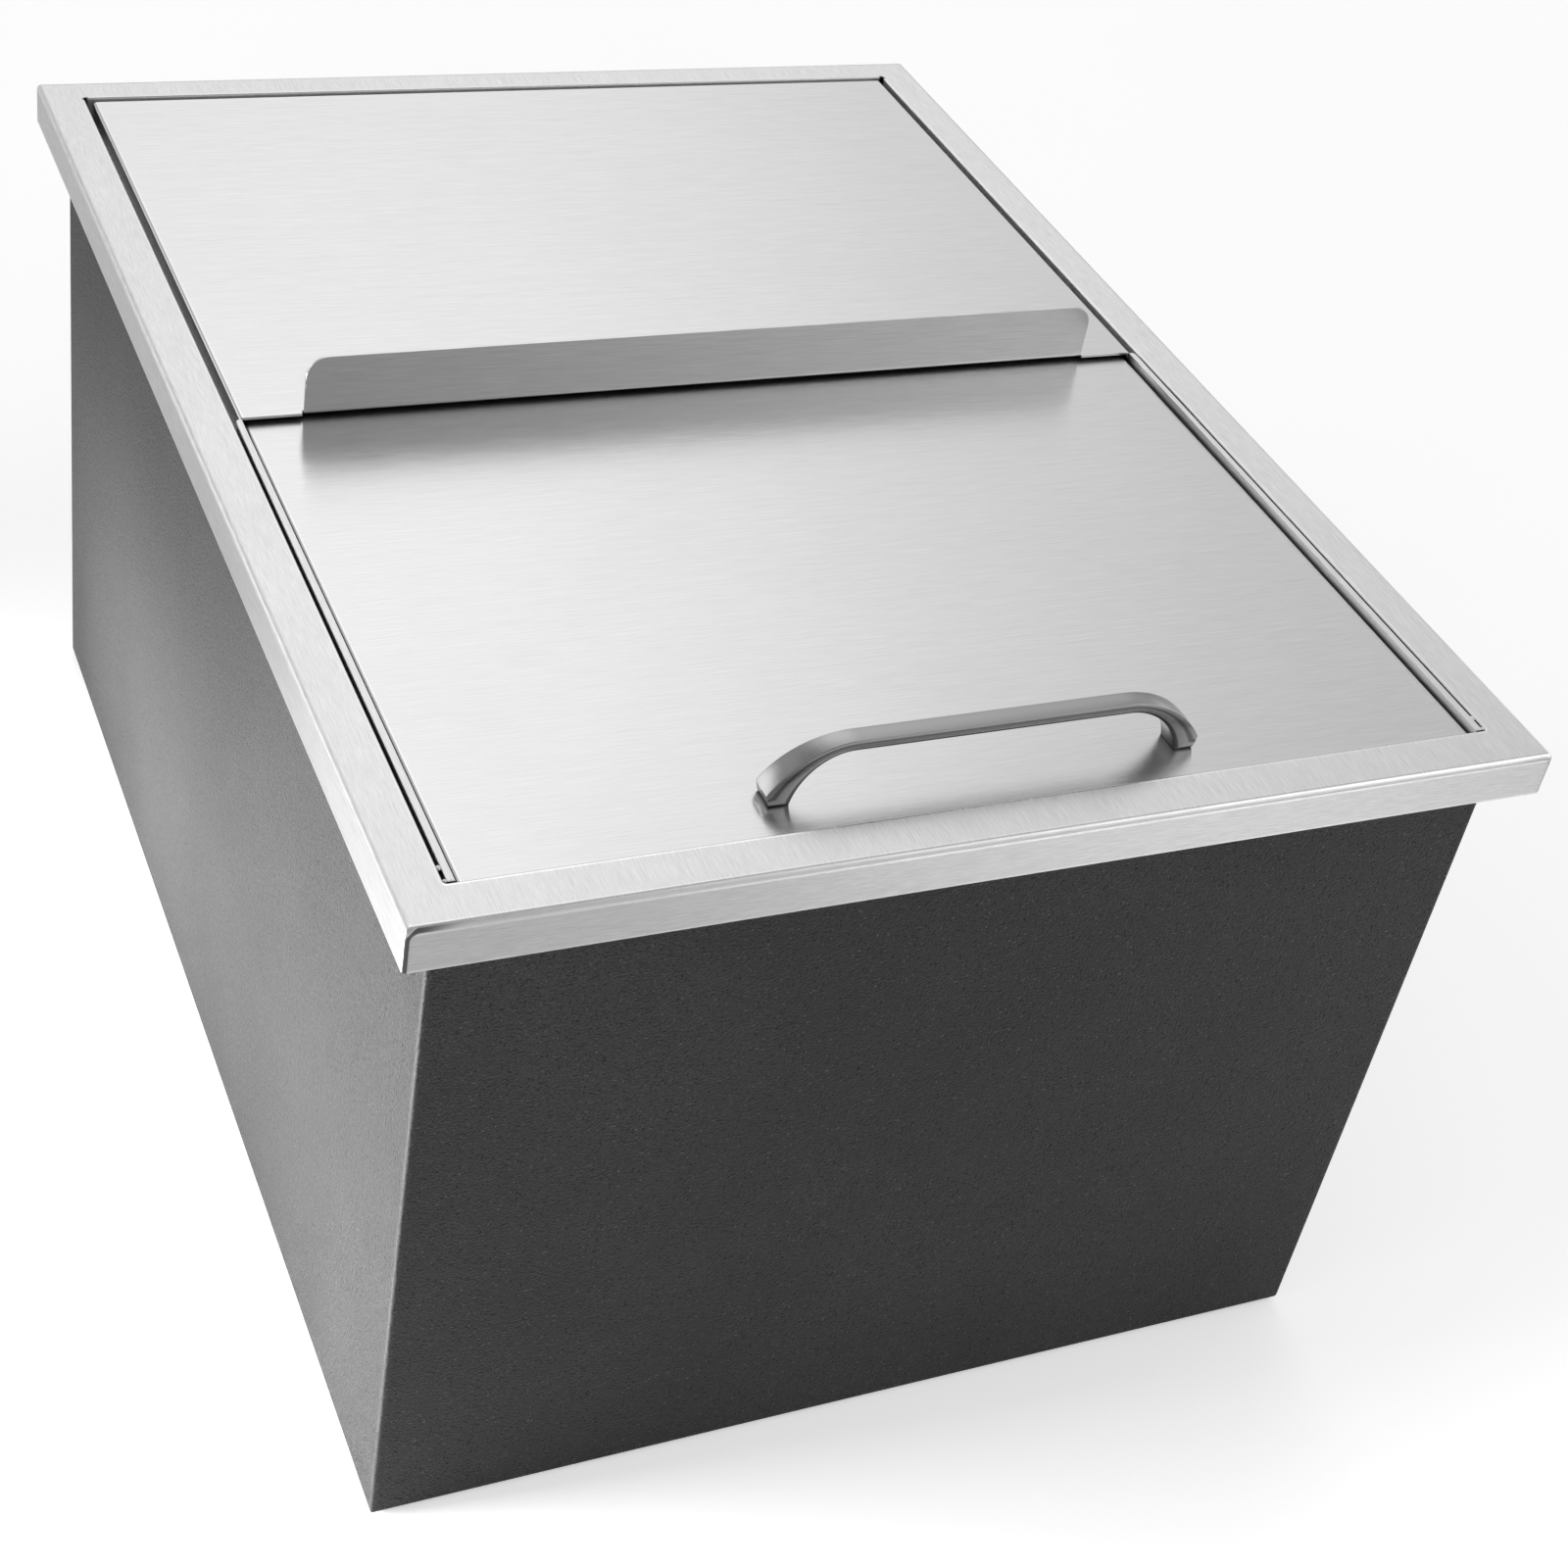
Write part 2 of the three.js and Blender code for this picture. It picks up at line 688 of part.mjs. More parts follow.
// Grommet: a rubber ring with a groove that grips the edge of the casing's hole
function makeGrommet() {
  const inner = pipeHole / 2;
  const groove = grommetGrooveDiameter / 2;
  const flange = grommetFlangeDiameter / 2;
  const sheetTopZ = bodyBottomZ + casingSheet;
  const section = [
    [inner, bodyBottomZ - grommetLip],
    [flange - grommetLip / 2, bodyBottomZ - grommetLip],
    [flange, bodyBottomZ - grommetLip / 2],
    [flange, bodyBottomZ],
    [groove, bodyBottomZ],
    [groove, sheetTopZ],
    [flange, sheetTopZ],
    [flange, sheetTopZ + grommetLip / 2],
    [flange - grommetLip / 2, sheetTopZ + grommetLip],
    [inner, sheetTopZ + grommetLip],
    [inner, bodyBottomZ - grommetLip],
  ];
  return turned(section, 0, drainY, drainSides);
}

const materials = {
  stainless: new THREE.MeshStandardMaterial({ color: 0xcfcfcf, roughness: 0.34, metalness: 1 }),
  satinNickel: new THREE.MeshStandardMaterial({ color: 0xa8a8a8, roughness: 0.28, metalness: 1 }),
  darkCasing: new THREE.MeshStandardMaterial({ color: 0x4a4a4a, roughness: 0.7, metalness: 0.1 }),
  foam: new THREE.MeshStandardMaterial({ color: 0xe3d9a8, roughness: 0.95, metalness: 0 }),
  rubber: new THREE.MeshStandardMaterial({ color: 0x1c1c1c, roughness: 0.8, metalness: 0 }),
  fibre: new THREE.MeshStandardMaterial({ color: 0x8a6a4a, roughness: 0.9, metalness: 0 }),
  brass: new THREE.MeshStandardMaterial({ color: 0xb39a5c, roughness: 0.4, metalness: 1 }),
};

const bin = new THREE.Group();
bin.name = "drop_in_ice_bin";

// Adds one named piece to the bin
function addPiece(name, made, material) {
  const mesh = new THREE.Mesh(geometryOf(made), materials[material]);
  mesh.name = name;
  bin.add(mesh);
}

addPiece("rim_frame", makeRim(), "stainless");
addPiece("inner_tub", makeTub(), "stainless");
addPiece("insulation", makeInsulation(), "foam");
addPiece("outer_shell", makeCasing(), "darkCasing");
addPiece("guide_rail_left", makeRail(-1), "stainless");
addPiece("guide_rail_right", makeRail(1), "stainless");
addPiece("rear_lid", makeRearLid(), "stainless");
addPiece("front_lid", makeFrontLid(), "stainless");
addPiece("bar_handle", makeHandle(), "satinNickel");

const washerSeatZ = frontLidTopZ - sheet;
for (const [name, side] of [["left", -1], ["right", 1]]) {
  const x = (side * handleHolePitch) / 2;
  const headSeatZ = washerSeatZ - washerThickness;
  const length = screwEngagement + sheet + washerThickness;
  const washer = makeWasher(
    washerDiameter,
    screwHoleDiameter,
    headSeatZ,
    washerSeatZ,
    x,
    handleY,
    screwSides,
  );
  addPiece("handle_washer_" + name, washer, "stainless");
  addPiece("handle_screw_" + name, makeScrew(x, handleY, headSeatZ, 1, length), "stainless");
}

addPiece("drain_spigot", makeSpigot(), "stainless");
addPiece("drain_strainer", makeStrainer(), "stainless");
addPiece("strainer_screw", makeScrew(0, drainY, flangeTopZ, -1, strainerScrewLength), "stainless");
addPiece(
  "drain_gasket",
  makeWasher(drainFlangeDiameter, pipeHole, dishZ, flangeUnderZ, 0, drainY, drainSides),
  "rubber",
);
addPiece(
  "drain_washer",
  makeWasher(drainWasherDiameter, pipeHole, washerUnderZ, washerTopZ, 0, drainY, drainSides),
  "fibre",
);
addPiece("drain_locknut", makeLocknut(), "brass");
addPiece("drain_grommet", makeGrommet(), "rubber");

export default bin;
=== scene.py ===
"""The finish of a drop in ice bin: folded stainless sheet, powder coat, bow handle and threaded drain.

The file is laid out as an add-on. Run as a script, it makes every piece once, in the order of PIECES.
Lengths are metres, +Z is up and -Y is the front, where the handle is."""

import math
from typing import NamedTuple

import bpy
import numpy as np
from bpy.props import FloatProperty, FloatVectorProperty, IntProperty, PointerProperty
from mathutils import Matrix, Vector


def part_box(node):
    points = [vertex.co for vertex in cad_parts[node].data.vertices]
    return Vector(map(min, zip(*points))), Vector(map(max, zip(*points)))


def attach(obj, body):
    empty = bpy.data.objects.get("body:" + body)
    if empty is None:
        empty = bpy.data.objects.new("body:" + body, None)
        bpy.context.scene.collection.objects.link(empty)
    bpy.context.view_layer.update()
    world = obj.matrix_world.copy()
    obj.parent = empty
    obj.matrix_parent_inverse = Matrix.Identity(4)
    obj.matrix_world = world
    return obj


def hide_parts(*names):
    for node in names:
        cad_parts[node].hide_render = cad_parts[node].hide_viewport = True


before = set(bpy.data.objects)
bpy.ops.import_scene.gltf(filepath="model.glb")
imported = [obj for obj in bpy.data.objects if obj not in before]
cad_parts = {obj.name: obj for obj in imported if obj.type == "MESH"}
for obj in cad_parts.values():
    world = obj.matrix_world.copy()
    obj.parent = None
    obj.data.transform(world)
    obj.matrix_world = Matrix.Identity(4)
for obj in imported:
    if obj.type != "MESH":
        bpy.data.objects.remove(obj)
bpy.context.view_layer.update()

bl_info = {
    "name": "Drop in ice bin",
    "version": (1, 0, 0),
    "blender": (4, 5, 0),
    "location": "View3D > Sidebar > Ice bin",
    "description": "Makes the finished pieces of a drop in ice bin round its packed model",
    "category": "Add Mesh",
}

MM = 0.001

# Points nearer than the weld are one point, and a corner without a radius gets the least one
WELD = 1e-6
LEAST_RADIUS = 0.15 * MM

# The corners of a loop in the order of its places
REAR_RIGHT, REAR_LEFT, FRONT_LEFT, FRONT_RIGHT = range(4)

# Points of each side of the handle's section: those on a corner's arc and those between two corners
SECTION_ARC = 7
SECTION_FLAT = 8
SECTION_SIDE = SECTION_ARC + SECTION_FLAT

# Steps along the handle's straight half, its bend and its heel, round turned pieces, and down the thread
STRAIGHT_STEPS = 11
BEND_STEPS = 40
HEEL_STEPS = 4
TURNED_SIDES = 64
THREAD_ROWS = 220

# The UV map whose first axis follows the brushing, and the point attribute that marks folds, polishing
# with painted highlights, and painted shade
GRAIN_MAP = "grain"
FOLD_MARK = "fold"

# Fold marks: above 0 a place is polished, and on steel its colour is lightened as a painted highlight,
# and on powder coat smoother; below 0 its colour is darkened as painted shade
POLISH_AND_HIGHLIGHT = 1.0
INNER_FOLD = 0.7
HEM = 0.6
OUTER_DROP_SHADE = -0.13
SHADOW_LINE = -0.8
RECESS_CORNER_SHADE = -0.95
LID_WALL_SHADE = -0.9
LID_FRONT_WALL_SHADE = -0.2
SMOOTH_POWDER = 0.85
FINE_SHADE_LINE = 0.6
BENT_SHADE_LINE = 0.7
LOWER_SHADE_LINE = 0.9

# How far the painted shade in gaps reaches, and how far the floor lies under the casing
GAP_WIDTH = 3.2 * MM
FLOOR_DROP = 0.3 * MM


# Sizes and colours that a user would change


def length(name, description, millimetres):
    """A length setting, given in millimetres and kept in metres."""
    return FloatProperty(
        name=name,
        description=description,
        default=millimetres * MM,
        unit="LENGTH",
        precision=4,
        min=0.0,
    )


def angle(name, description, degrees):
    """An angle setting, given in degrees and kept in radians."""
    default = math.radians(degrees)
    return FloatProperty(name=name, description=description, default=default, subtype="ANGLE")


def step_count(name, description, count, least, most):
    """A whole number of steps."""
    return IntProperty(name=name, description=description, default=count, min=least, max=most)


def colour(name, description, *value):
    """A colour setting in linear light."""
    return FloatVectorProperty(
        name=name, description=description, default=value, subtype="COLOR", size=3, min=0.0, max=1.0
    )


def share(name, description, value):
    """A setting from 0 to 1."""
    return FloatProperty(
        name=name, description=description, default=value, min=0.0, max=1.0, subtype="FACTOR"
    )


def amount(name, description, value):
    """A plain number, such as the strength of a light."""
    return FloatProperty(name=name, description=description, default=value)


def point(name, description, *value):
    """A place in metres."""
    return FloatVectorProperty(name=name, description=description, default=value, subtype="XYZ")


class SheetSettings(bpy.types.PropertyGroup):
    """Sheet thicknesses and folds"""

    thickness: length("Stainless sheet", "Thickness of rim, lids and tub", 1.2)
    casing_thickness: length("Casing sheet", "Thickness of the outer casing", 1.0)
    fold_radius: length("Fold radius", "Outside radius of the folds", 1.7)
    hem_radius: length("Hem radius", "Outside radius of the rim's lower fold", 0.8)
    edge_rounding: length("Edge rounding", "How far cut edges are rounded off", 0.22)
    flat_support: length("Fold support", "Width of the flat strip that steadies a fold's shading", 0.5)
    bow: length("Bow", "How far large flat sheets sink between their folds", 0.28)
    bend_steps: step_count("Fold steps", "Facets across a fold", 7, 2, 16)
    arc_steps: step_count("Corner steps", "Facets round a corner", 8, 2, 24)
    side_steps: step_count("Side steps", "Facets along a side", 28, 4, 96)


class RimSettings(bpy.types.PropertyGroup):
    """Rim that lies on the worktop"""

    corner_radius: length("Corner radius", "Outer corner radius", 1.7)
    inner_corner_radius: length("Inner corner radius", "Corner radius of the recess", 1.2)
    outer_fold_radius: length("Outer fold radius", "Outside radius of the fold over the outer drop", 2.3)
    inner_fold_radius: length("Inner fold radius", "Outside radius of the fold round the recess", 0.8)
    bright_strip: length("Bright strip", "Width over which polish fades beside the recess", 0.35)
    return_gap: length("Return gap", "Gap between casing and the return on the worktop", 3.0)
    relief: length("Corner relief", "How far the recess's rear corners are let out", 1.1)
    seam_width: length("Seam width", "Half width of the dressed seam at the front corners", 0.95)
    seam_round: length("Seam rounding", "Radius of the dressed seam's upper corner", 4.0)
    seam_reach: length("Seam reach", "How far the dressed seam runs from the corner", 22.0)
    weld_radius: length("Tack weld size", "Half length of the tack welds that hold the rails", 1.5)


class LidSettings(bpy.types.PropertyGroup):
    """The two lids"""

    corner_radius: length("Corner radius", "Corner radius of both lids", 2.0)
    fold_radius: length("Fold radius", "Outside radius of the front lid's folds", 1.1)
    lip_width: length("Lip width", "Width of the upturned lip", 360.0)
    lip_corner: length("Lip corner", "Corner radius of the lip", 9.5)
    lip_relief: length("Lip relief", "Width of the slot at each end of the lip", 0.8)
    lip_bend: length("Lip bend", "Inside radius of the lip's bend", 1.6)


class HandleSettings(bpy.types.PropertyGroup):
    """Bow handle"""

    straight: length("Straight", "Length of the straight top line", 108.6)
    arc_radius: length("Bend radius", "Radius of the top line's bends", 40.0)
    arc_angle: angle("Bend angle", "How far each end bends down", 58.0)
    inner_straight: length("Inner straight", "Length of the straight underside", 110.6)
    inner_radius: length("Inner radius", "Radius of the underside's bends", 23.5)
    thickness: length("Thickness", "Height of the bar", 4.4)
    bar_depth: length("Bar depth", "Depth of the bar from front to rear", 8.1)
    heel: length("Heel", "How far the foot steps in under the tip", 1.7)
    edge_radius: length("Edge radius", "Radius of the bar's long edges", 0.35)
    crown: length("Crown", "How far the bar's faces bulge", 0.2)


class TubSettings(bpy.types.PropertyGroup):
    """Tub and casing"""

    ledge: length("Ledge", "Width of the ledge that carries the lids", 12.0)
    ledge_fold: length("Ledge fold", "Radius from the ledge into the walls", 2.6)
    corner_radius: length("Corner radius", "Radius of the tub's upright corners and its coves", 19.0)
    dish_radius: length("Dish radius", "Half width of the drain dish", 38.5)
    dish_depth: length("Dish depth", "Depth of the drain dish", 5.0)
    dish_slope: length("Dish slope", "Run of the dish's edge", 3.0)
    floor_fall: length("Floor fall", "Fall of the floor towards the drain", 6.0)
    casing_edge: length("Casing edge", "Radius of the casing's upright edges", 1.2)
    casing_fold: length("Casing fold", "Radius of the casing's lower edges", 4.0)


class DrainSettings(bpy.types.PropertyGroup):
    """Threaded drain"""

    pipe_diameter: length("Thread diameter", "Outside diameter of the pipe thread", 33.2)
    bore: length("Bore", "Bore of the drain", 26.0)
    thread_pitch: length("Thread pitch", "Pitch of the pipe thread, 11 turns to the inch", 2.309)
    thread_depth: length("Thread depth", "Depth of the thread", 1.0)
    flange_thickness: length("Flange thickness", "Thickness of the drain's flange", 3.0)
    flange_round: length("Flange rounding", "Rounding of the flange's edge", 1.0)
    strainer_diameter: length("Strainer seat", "Diameter of the strainer's seat", 44.6)
    crossbar: length("Crossbar", "Width of the bar that takes the strainer's screw", 6.0)
    pipe_chamfer: length("Pipe chamfer", "Chamfer at the pipe's end", 1.5)
    grommet_lip: length("Grommet lip", "Thickness of the grommet's lips", 2.5)
    grommet_diameter: length("Grommet", "Outside diameter of the grommet", 50.0)
    grommet_groove: length("Grommet groove", "Diameter in the grommet's groove", 41.0)
    pipe_gap: length("Pipe gap", "Clearance round the pipe", 0.5)


class FinishSettings(bpy.types.PropertyGroup):
    """Colours and gloss"""

    steel: colour("Stainless", "Brushed stainless sheet", 0.74, 0.74, 0.74)
    rim_steel: colour("Rim steel", "Stainless of the hand dressed rim", 0.79, 0.79, 0.79)
    tub_steel: colour("Tub steel", "Mill finished stainless of the tub", 0.86, 0.86, 0.86)
    nickel: colour("Satin nickel", "Plate of the handle", 0.37, 0.37, 0.37)
    casing: colour("Casing", "Dark grey powder coat", 0.052, 0.052, 0.052)
    foam: colour("Foam", "Poured rigid foam", 0.76, 0.7, 0.45)
    rubber: colour("Rubber", "Black moulded rubber", 0.02, 0.02, 0.02)
    fibre: colour("Fibre", "Brown fibre washer", 0.28, 0.18, 0.1)
    brass: colour("Brass", "Turned brass", 0.6, 0.46, 0.2)
    zinc: colour("Zinc", "Bright zinc plate of the fasteners", 0.7, 0.7, 0.7)
    lid_roughness: share("Lid roughness", "Roughness across the grain of the lids", 0.2)
    rim_roughness: share("Rim roughness", "Roughness of the hand dressed rim", 0.38)
    tub_roughness: share("Tub roughness", "Roughness of the tub", 0.4)
    turned_roughness: share("Turned roughness", "Roughness of the drain's turned steel", 0.3)
    nickel_roughness: share("Nickel roughness", "Roughness of the handle", 0.17)
    casing_roughness: share("Casing roughness", "Roughness of the powder coat", 0.5)
    foam_roughness: share("Foam roughness", "Roughness of the foam", 0.9)
    rubber_roughness: share("Rubber roughness", "Roughness of gasket and grommet", 0.62)
    fibre_roughness: share("Fibre roughness", "Roughness of the fibre washer", 0.85)
    brass_roughness: share("Brass roughness", "Roughness of the locknut", 0.34)
    zinc_roughness: share("Zinc roughness", "Roughness of the fasteners", 0.24)


class StudioSettings(bpy.types.PropertyGroup):
    """Camera, light and floor"""

    eye: point("Camera", "Place of the camera", -0.4499, -0.9093, 0.5995)
    aim: point("Aim", "Point that the camera looks at", -0.0777, -0.26, 0.019)
    roll: angle("Roll", "Turn of the camera about its view", 11.43)
    lens: amount("Lens", "Focal length on a 36 mm sensor, in millimetres", 61.98)
    floor_colour: colour("Floor", "Pale floor", 0.86, 0.86, 0.86)
    floor_reach: length("Floor reach", "Radius of the round floor", 7000.0)
    floor_glow: amount("Floor glow", "Light that the floor itself gives off", 0.05)
    floor_lift: amount("Floor lift", "Further light of the floor where it is seen", 0.4)
    surround: amount("Surround", "Light from all round", 0.37)
    rear_wall: amount("Rear wall", "Light of the soft wall behind", 0.67)
    rear_top: amount("Rear top", "Light of the soft panel high behind", 0.4)
    rear_left: amount("Rear left", "Light of the soft wall on the rear left", 0.2)
    front_right: amount("Front right", "Light of the wide wall on the front right", 0.66)
    right_panel: amount("Right panel", "Light of the panel on the right", 0.8)
    front_low: amount("Front low", "Light of the low wall in front", 0.2)
    rear_low: amount("Rear low", "Light low behind", 0.03)
    rear_right: amount("Rear right", "Light of the wall on the rear right", 0.28)
    right_low: amount("Right low", "Light low on the right", 0.9)
    left_low: amount("Left low", "Light low on the rear left", 1.7)
    ceiling: amount("Ceiling", "Light that the ceiling in front takes away, below 0", -0.16)
    left_softbox: amount("Left softbox", "Power of the long left softbox, in watts", 14.5)
    side_light: amount("Side light", "Power of the small side light, in watts", 1.5)
    low_light: amount("Low light", "Power of the low side light, in watts", 3.7)
    floor_spot: amount("Floor spot", "Power of the spot on the right floor, in watts", 68.0)


SETTINGS = {
    "sheet": SheetSettings,
    "rim": RimSettings,
    "lid": LidSettings,
    "handle": HandleSettings,
    "tub": TubSettings,
    "drain": DrainSettings,
    "finish": FinishSettings,
    "studio": StudioSettings,
}


class IceBinSettings(bpy.types.PropertyGroup):
    """Everything that can be set on the ice bin"""

    sheet: PointerProperty(type=SheetSettings)
    rim: PointerProperty(type=RimSettings)
    lid: PointerProperty(type=LidSettings)
    handle: PointerProperty(type=HandleSettings)
    tub: PointerProperty(type=TubSettings)
    drain: PointerProperty(type=DrainSettings)
    finish: PointerProperty(type=FinishSettings)
    studio: PointerProperty(type=StudioSettings)


# Places read from the packed model


def node_box(name):
    """Lowest and highest corner of a packed node as two numpy rows."""
    low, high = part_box(name)
    return np.array(low), np.array(high)


def outline_of(name, corner, grow=0.0):
    """The track x0, x1, y0, y1 and corner radius round a packed node, moved out by grow."""
    low, high = node_box(name)
    return (low[0] - grow, high[0] + grow, low[1] - grow, high[1] + grow, corner)


def recess_track(settings):
    """The recess that the rim's inner drop makes: the tub's outline less the sheet."""
    return outline_of("inner_tub", settings.rim.inner_corner_radius, -settings.sheet.thickness)


def circle_track(centre, radius):
    """The track of a circle."""
    return (centre[0] - radius, centre[0] + radius, centre[1] - radius, centre[1] + radius, radius)


def drain_centre():
    """X and Y of the drain's axis."""
    low, high = node_box("drain_spigot")
    return (low[:2] + high[:2]) / 2


# Surfaces: rows of a track, and the grids of points that run along them


class Surface(NamedTuple):
    """Points [row, place], whether rows and places join round, which faces are kept, and the fold mark"""

    grid: np.ndarray
    wrap_rows: bool = False
    wrap_places: bool = True
    keep: np.ndarray = None
    mark: np.ndarray = None


def rows_at(track, insets, heights):
    """Rows of x0, x1, y0, y1, corner radius and height: the track moved in by each inset. A corner
    radius is the track's less the inset, and at most half the row's width or length."""
    insets = np.atleast_1d(np.asarray(insets, float))
    inset, height = np.broadcast_arrays(insets, np.asarray(heights, float))
    x0, x1, y0, y1, corner = track
    half = np.minimum(x1 - x0, y1 - y0) / 2 - inset
    radius = np.minimum(np.maximum(corner - inset, LEAST_RADIUS), np.maximum(half, 0.0))
    return np.stack([x0 + inset, x1 - inset, y0 + inset, y1 - inset, radius, height], axis=1)


def rows_between(first, last, count, ease=False):
    """Rows between two rows, not counting these, in even shares or in shares that crowd at the ends."""
    shares = crowded(count + 1) if ease else np.linspace(0.0, 1.0, count + 2)
    return first + (last - first) * shares[1:-1, None]


def stack_rows(blocks):
    """All rows of the named blocks in one array, and where each block lies in it."""
    ends = np.cumsum([len(block) for block in blocks.values()])
    spans = {name: slice(end - len(blocks[name]), end) for name, end in zip(blocks, ends)}
    return np.concatenate(list(blocks.values())), spans


def bend(inset, height, radius, start, end, steps):
    """Inset and height along a fold: the centre's inset less radius times the cosine, and the centre's
    height plus radius times the sine, for angles in degrees from level outwards."""
    turn = np.radians(np.linspace(start, end, steps + 1))
    return inset - radius * np.cos(turn), height + radius * np.sin(turn)


def crowded(steps):
    """Shares from 0 to 1 in half cosine steps, which crowd at both ends."""
    return 0.5 - 0.5 * np.cos(np.pi * np.arange(steps + 1) / steps)


def corner_start(sheet, corner):
    """The place of a loop where a corner's arc starts. The arc ends arc_steps places later."""
    return corner * (sheet.arc_steps + sheet.side_steps)


def loop_grid(rows, arc_steps, side_steps):
    """Points [row, place] anticlockwise round each row: at each corner a quarter circle, corner centre
    plus radius times (cos, sin), and between corners the same with the centre moving along the side."""
    x0, x1, y0, y1, radius, height = rows.T[:, :, None]
    along = np.concatenate([np.zeros(arc_steps + 1), crowded(side_steps)[1:-1]])
    turn = np.concatenate([np.linspace(0.0, 1.0, arc_steps + 1), np.ones(side_steps - 1)])
    quarter = np.repeat(np.arange(4), len(along))
    along, turn = np.tile(along, 4), np.tile(turn, 4)
    centre_x = np.stack([x1 - radius, x0 + radius, x0 + radius, x1 - radius])
    centre_y = np.stack([y1 - radius, y1 - radius, y0 + radius, y0 + radius])
    after = (quarter + 1) % 4
    facing = (quarter + turn) * np.pi / 2
    middle_x = centre_x[quarter, :, 0].T * (1 - along) + centre_x[after, :, 0].T * along
    middle_y = centre_y[quarter, :, 0].T * (1 - along) + centre_y[after, :, 0].T * along
    x = middle_x + radius * np.cos(facing)
    y = middle_y + radius * np.sin(facing)
    return np.stack([x, y, np.broadcast_to(height, x.shape)], axis=2)


def horseshoe_grid(rows, arc_steps, side_steps):
    """Points [row, place] from the front of the right side, round both rear corners, to the front of
    the left side. The sides are straight lines in half cosine steps and the corners quarter circles."""
    x0, x1, y0, y1, radius, height = rows.T[:, :, None]
    side = crowded(side_steps)
    turn = np.linspace(0.0, np.pi / 2, arc_steps + 1)
    across, up = radius * np.cos(turn), radius * np.sin(turn)
    reach = y1 - radius - y0
    right = np.stack([x1 + 0 * side, y0 + reach * side], axis=2)
    corner_right = np.stack([x1 - radius + across, y1 - radius + up], axis=2)
    rear = np.stack([x1 - radius + (x0 - x1 + 2 * radius) * side, y1 + 0 * side], axis=2)
    corner_left = np.stack([x0 + radius - up, y1 - radius + across], axis=2)
    left = np.stack([x0 + 0 * side, y0 + reach * (1 - side)], axis=2)
    turns = [corner_right[:, 1:], rear[:, 1:], corner_left[:, 1:], left[:, 1:]]
    flat = np.concatenate([right, *turns], axis=1)
    return np.concatenate([flat, np.broadcast_to(height[:, :, None], flat[:, :, :1].shape)], axis=2)


def turned_grid(section, centre, sides):
    """Points [row, place] of a turned piece: centre plus radius times (cos, sin), at the section's
    heights."""
    turn = 2 * np.pi * np.arange(sides) / sides
    radius, height = np.asarray(section, float).T[:, :, None]
    x = centre[0] + radius * np.cos(turn)
    y = centre[1] + radius * np.sin(turn)
    return np.stack([x, y, height + 0 * turn], axis=2)


def blob_grid(centre, radii, steps):
    """Points [row, place] of a rounded lump: centre plus the radii times the sine and cosine of two
    angles, from the lower pole to the upper one."""
    rise = np.linspace(-np.pi / 2, np.pi / 2, steps + 1)[:, None]
    turn = 2 * np.pi * np.arange(2 * steps) / (2 * steps)
    x, y = np.cos(rise) * np.cos(turn), np.cos(rise) * np.sin(turn)
    return np.asarray(centre) + np.stack([x, y, np.sin(rise) + 0 * turn], axis=2) * np.asarray(radii)


def block_grid(low, high, rounding):
    """Points [row, place] of a rounded block: an upright loop with rounded rims, closed to a line at both
    ends."""
    track = (low[0], high[0], low[1], high[1], rounding)
    shut = min(high[0] - low[0], high[1] - low[1]) / 2
    rows = np.concatenate(
        [
            rows_at(track, shut, low[2]),
            rows_at(track, *bend(rounding, low[2] + rounding, rounding, -90, 0, 3)),
            rows_at(track, *bend(rounding, high[2] - rounding, rounding, 0, 90, 3)),
            rows_at(track, shut, high[2]),
        ]
    )
    return loop_grid(rows, 3, 4)


# Meshes and objects


def grid_faces(grid, wrap_rows, wrap_places, keep):
    """Joins two rows and two places into each face. Returns the points, with those that meet shared,
    the quads and triangles, and the grid point that each point came from. A face with two corners alike
    becomes a triangle, and one with more is left out."""
    rows, places = grid.shape[:2]
    points = grid.reshape(-1, 3)
    _, first, shared = np.unique(np.round(points / WELD), axis=0, return_index=True, return_inverse=True)
    row = np.arange(rows if wrap_rows else rows - 1)
    place = np.arange(places if wrap_places else places - 1)
    row, place = (a.ravel() for a in np.meshgrid(row, place, indexing="ij"))
    if keep is not None:
        kept = keep[row, place]
        row, place = row[kept], place[kept]
    next_row, next_place = (row + 1) % rows, (place + 1) % places
    ring = ((row, place), (row, next_place), (next_row, next_place), (next_row, place))
    corners = shared.ravel()[np.stack([a * places + b for a, b in ring], axis=1)]
    alike = corners == np.roll(corners, -1, axis=1)
    whole = corners[alike.sum(axis=1) == 0]
    once = alike.sum(axis=1) == 1
    triangles = corners[once][~alike[once]].reshape(-1, 3)
    used, slim = np.unique(np.concatenate([whole.ravel(), triangles.ravel()]), return_inverse=True)
    slim = slim.ravel()
    quads = slim[: whole.size].reshape(-1, 4)
    triangles = slim[whole.size :].reshape(-1, 3)
    return points[first][used], quads, triangles, first[used]


def make_mesh(name, *surfaces):
    """One smooth shaded mesh from surfaces, with their fold marks kept as a point attribute."""
    points, faces, marks, count = [], [], [], 0
    for surface in surfaces:
        found, quads, triangles, source = grid_faces(*surface[:-1])
        points.append(found)
        faces += (quads + count).tolist() + (triangles + count).tolist()
        marks.append(np.zeros(len(found)) if surface.mark is None else surface.mark.ravel()[source])
        count += len(found)
    mesh = bpy.data.meshes.new(name)
    mesh.from_pydata(np.concatenate(points).tolist(), [], faces)
    mesh.update()
    mesh.shade_smooth()
    attribute = mesh.attributes.new(FOLD_MARK, "FLOAT", "POINT")
    attribute.data.foreach_set("value", np.concatenate(marks).astype(np.float32))
    return mesh


def face_corners(mesh):
    """X, Y and Z at each corner of each face."""
    corner = np.empty(len(mesh.loops), np.int64)
    mesh.loops.foreach_get("vertex_index", corner)
    place = np.empty(len(mesh.vertices) * 3)
    mesh.vertices.foreach_get("co", place)
    return place.reshape(-1, 3)[corner].T


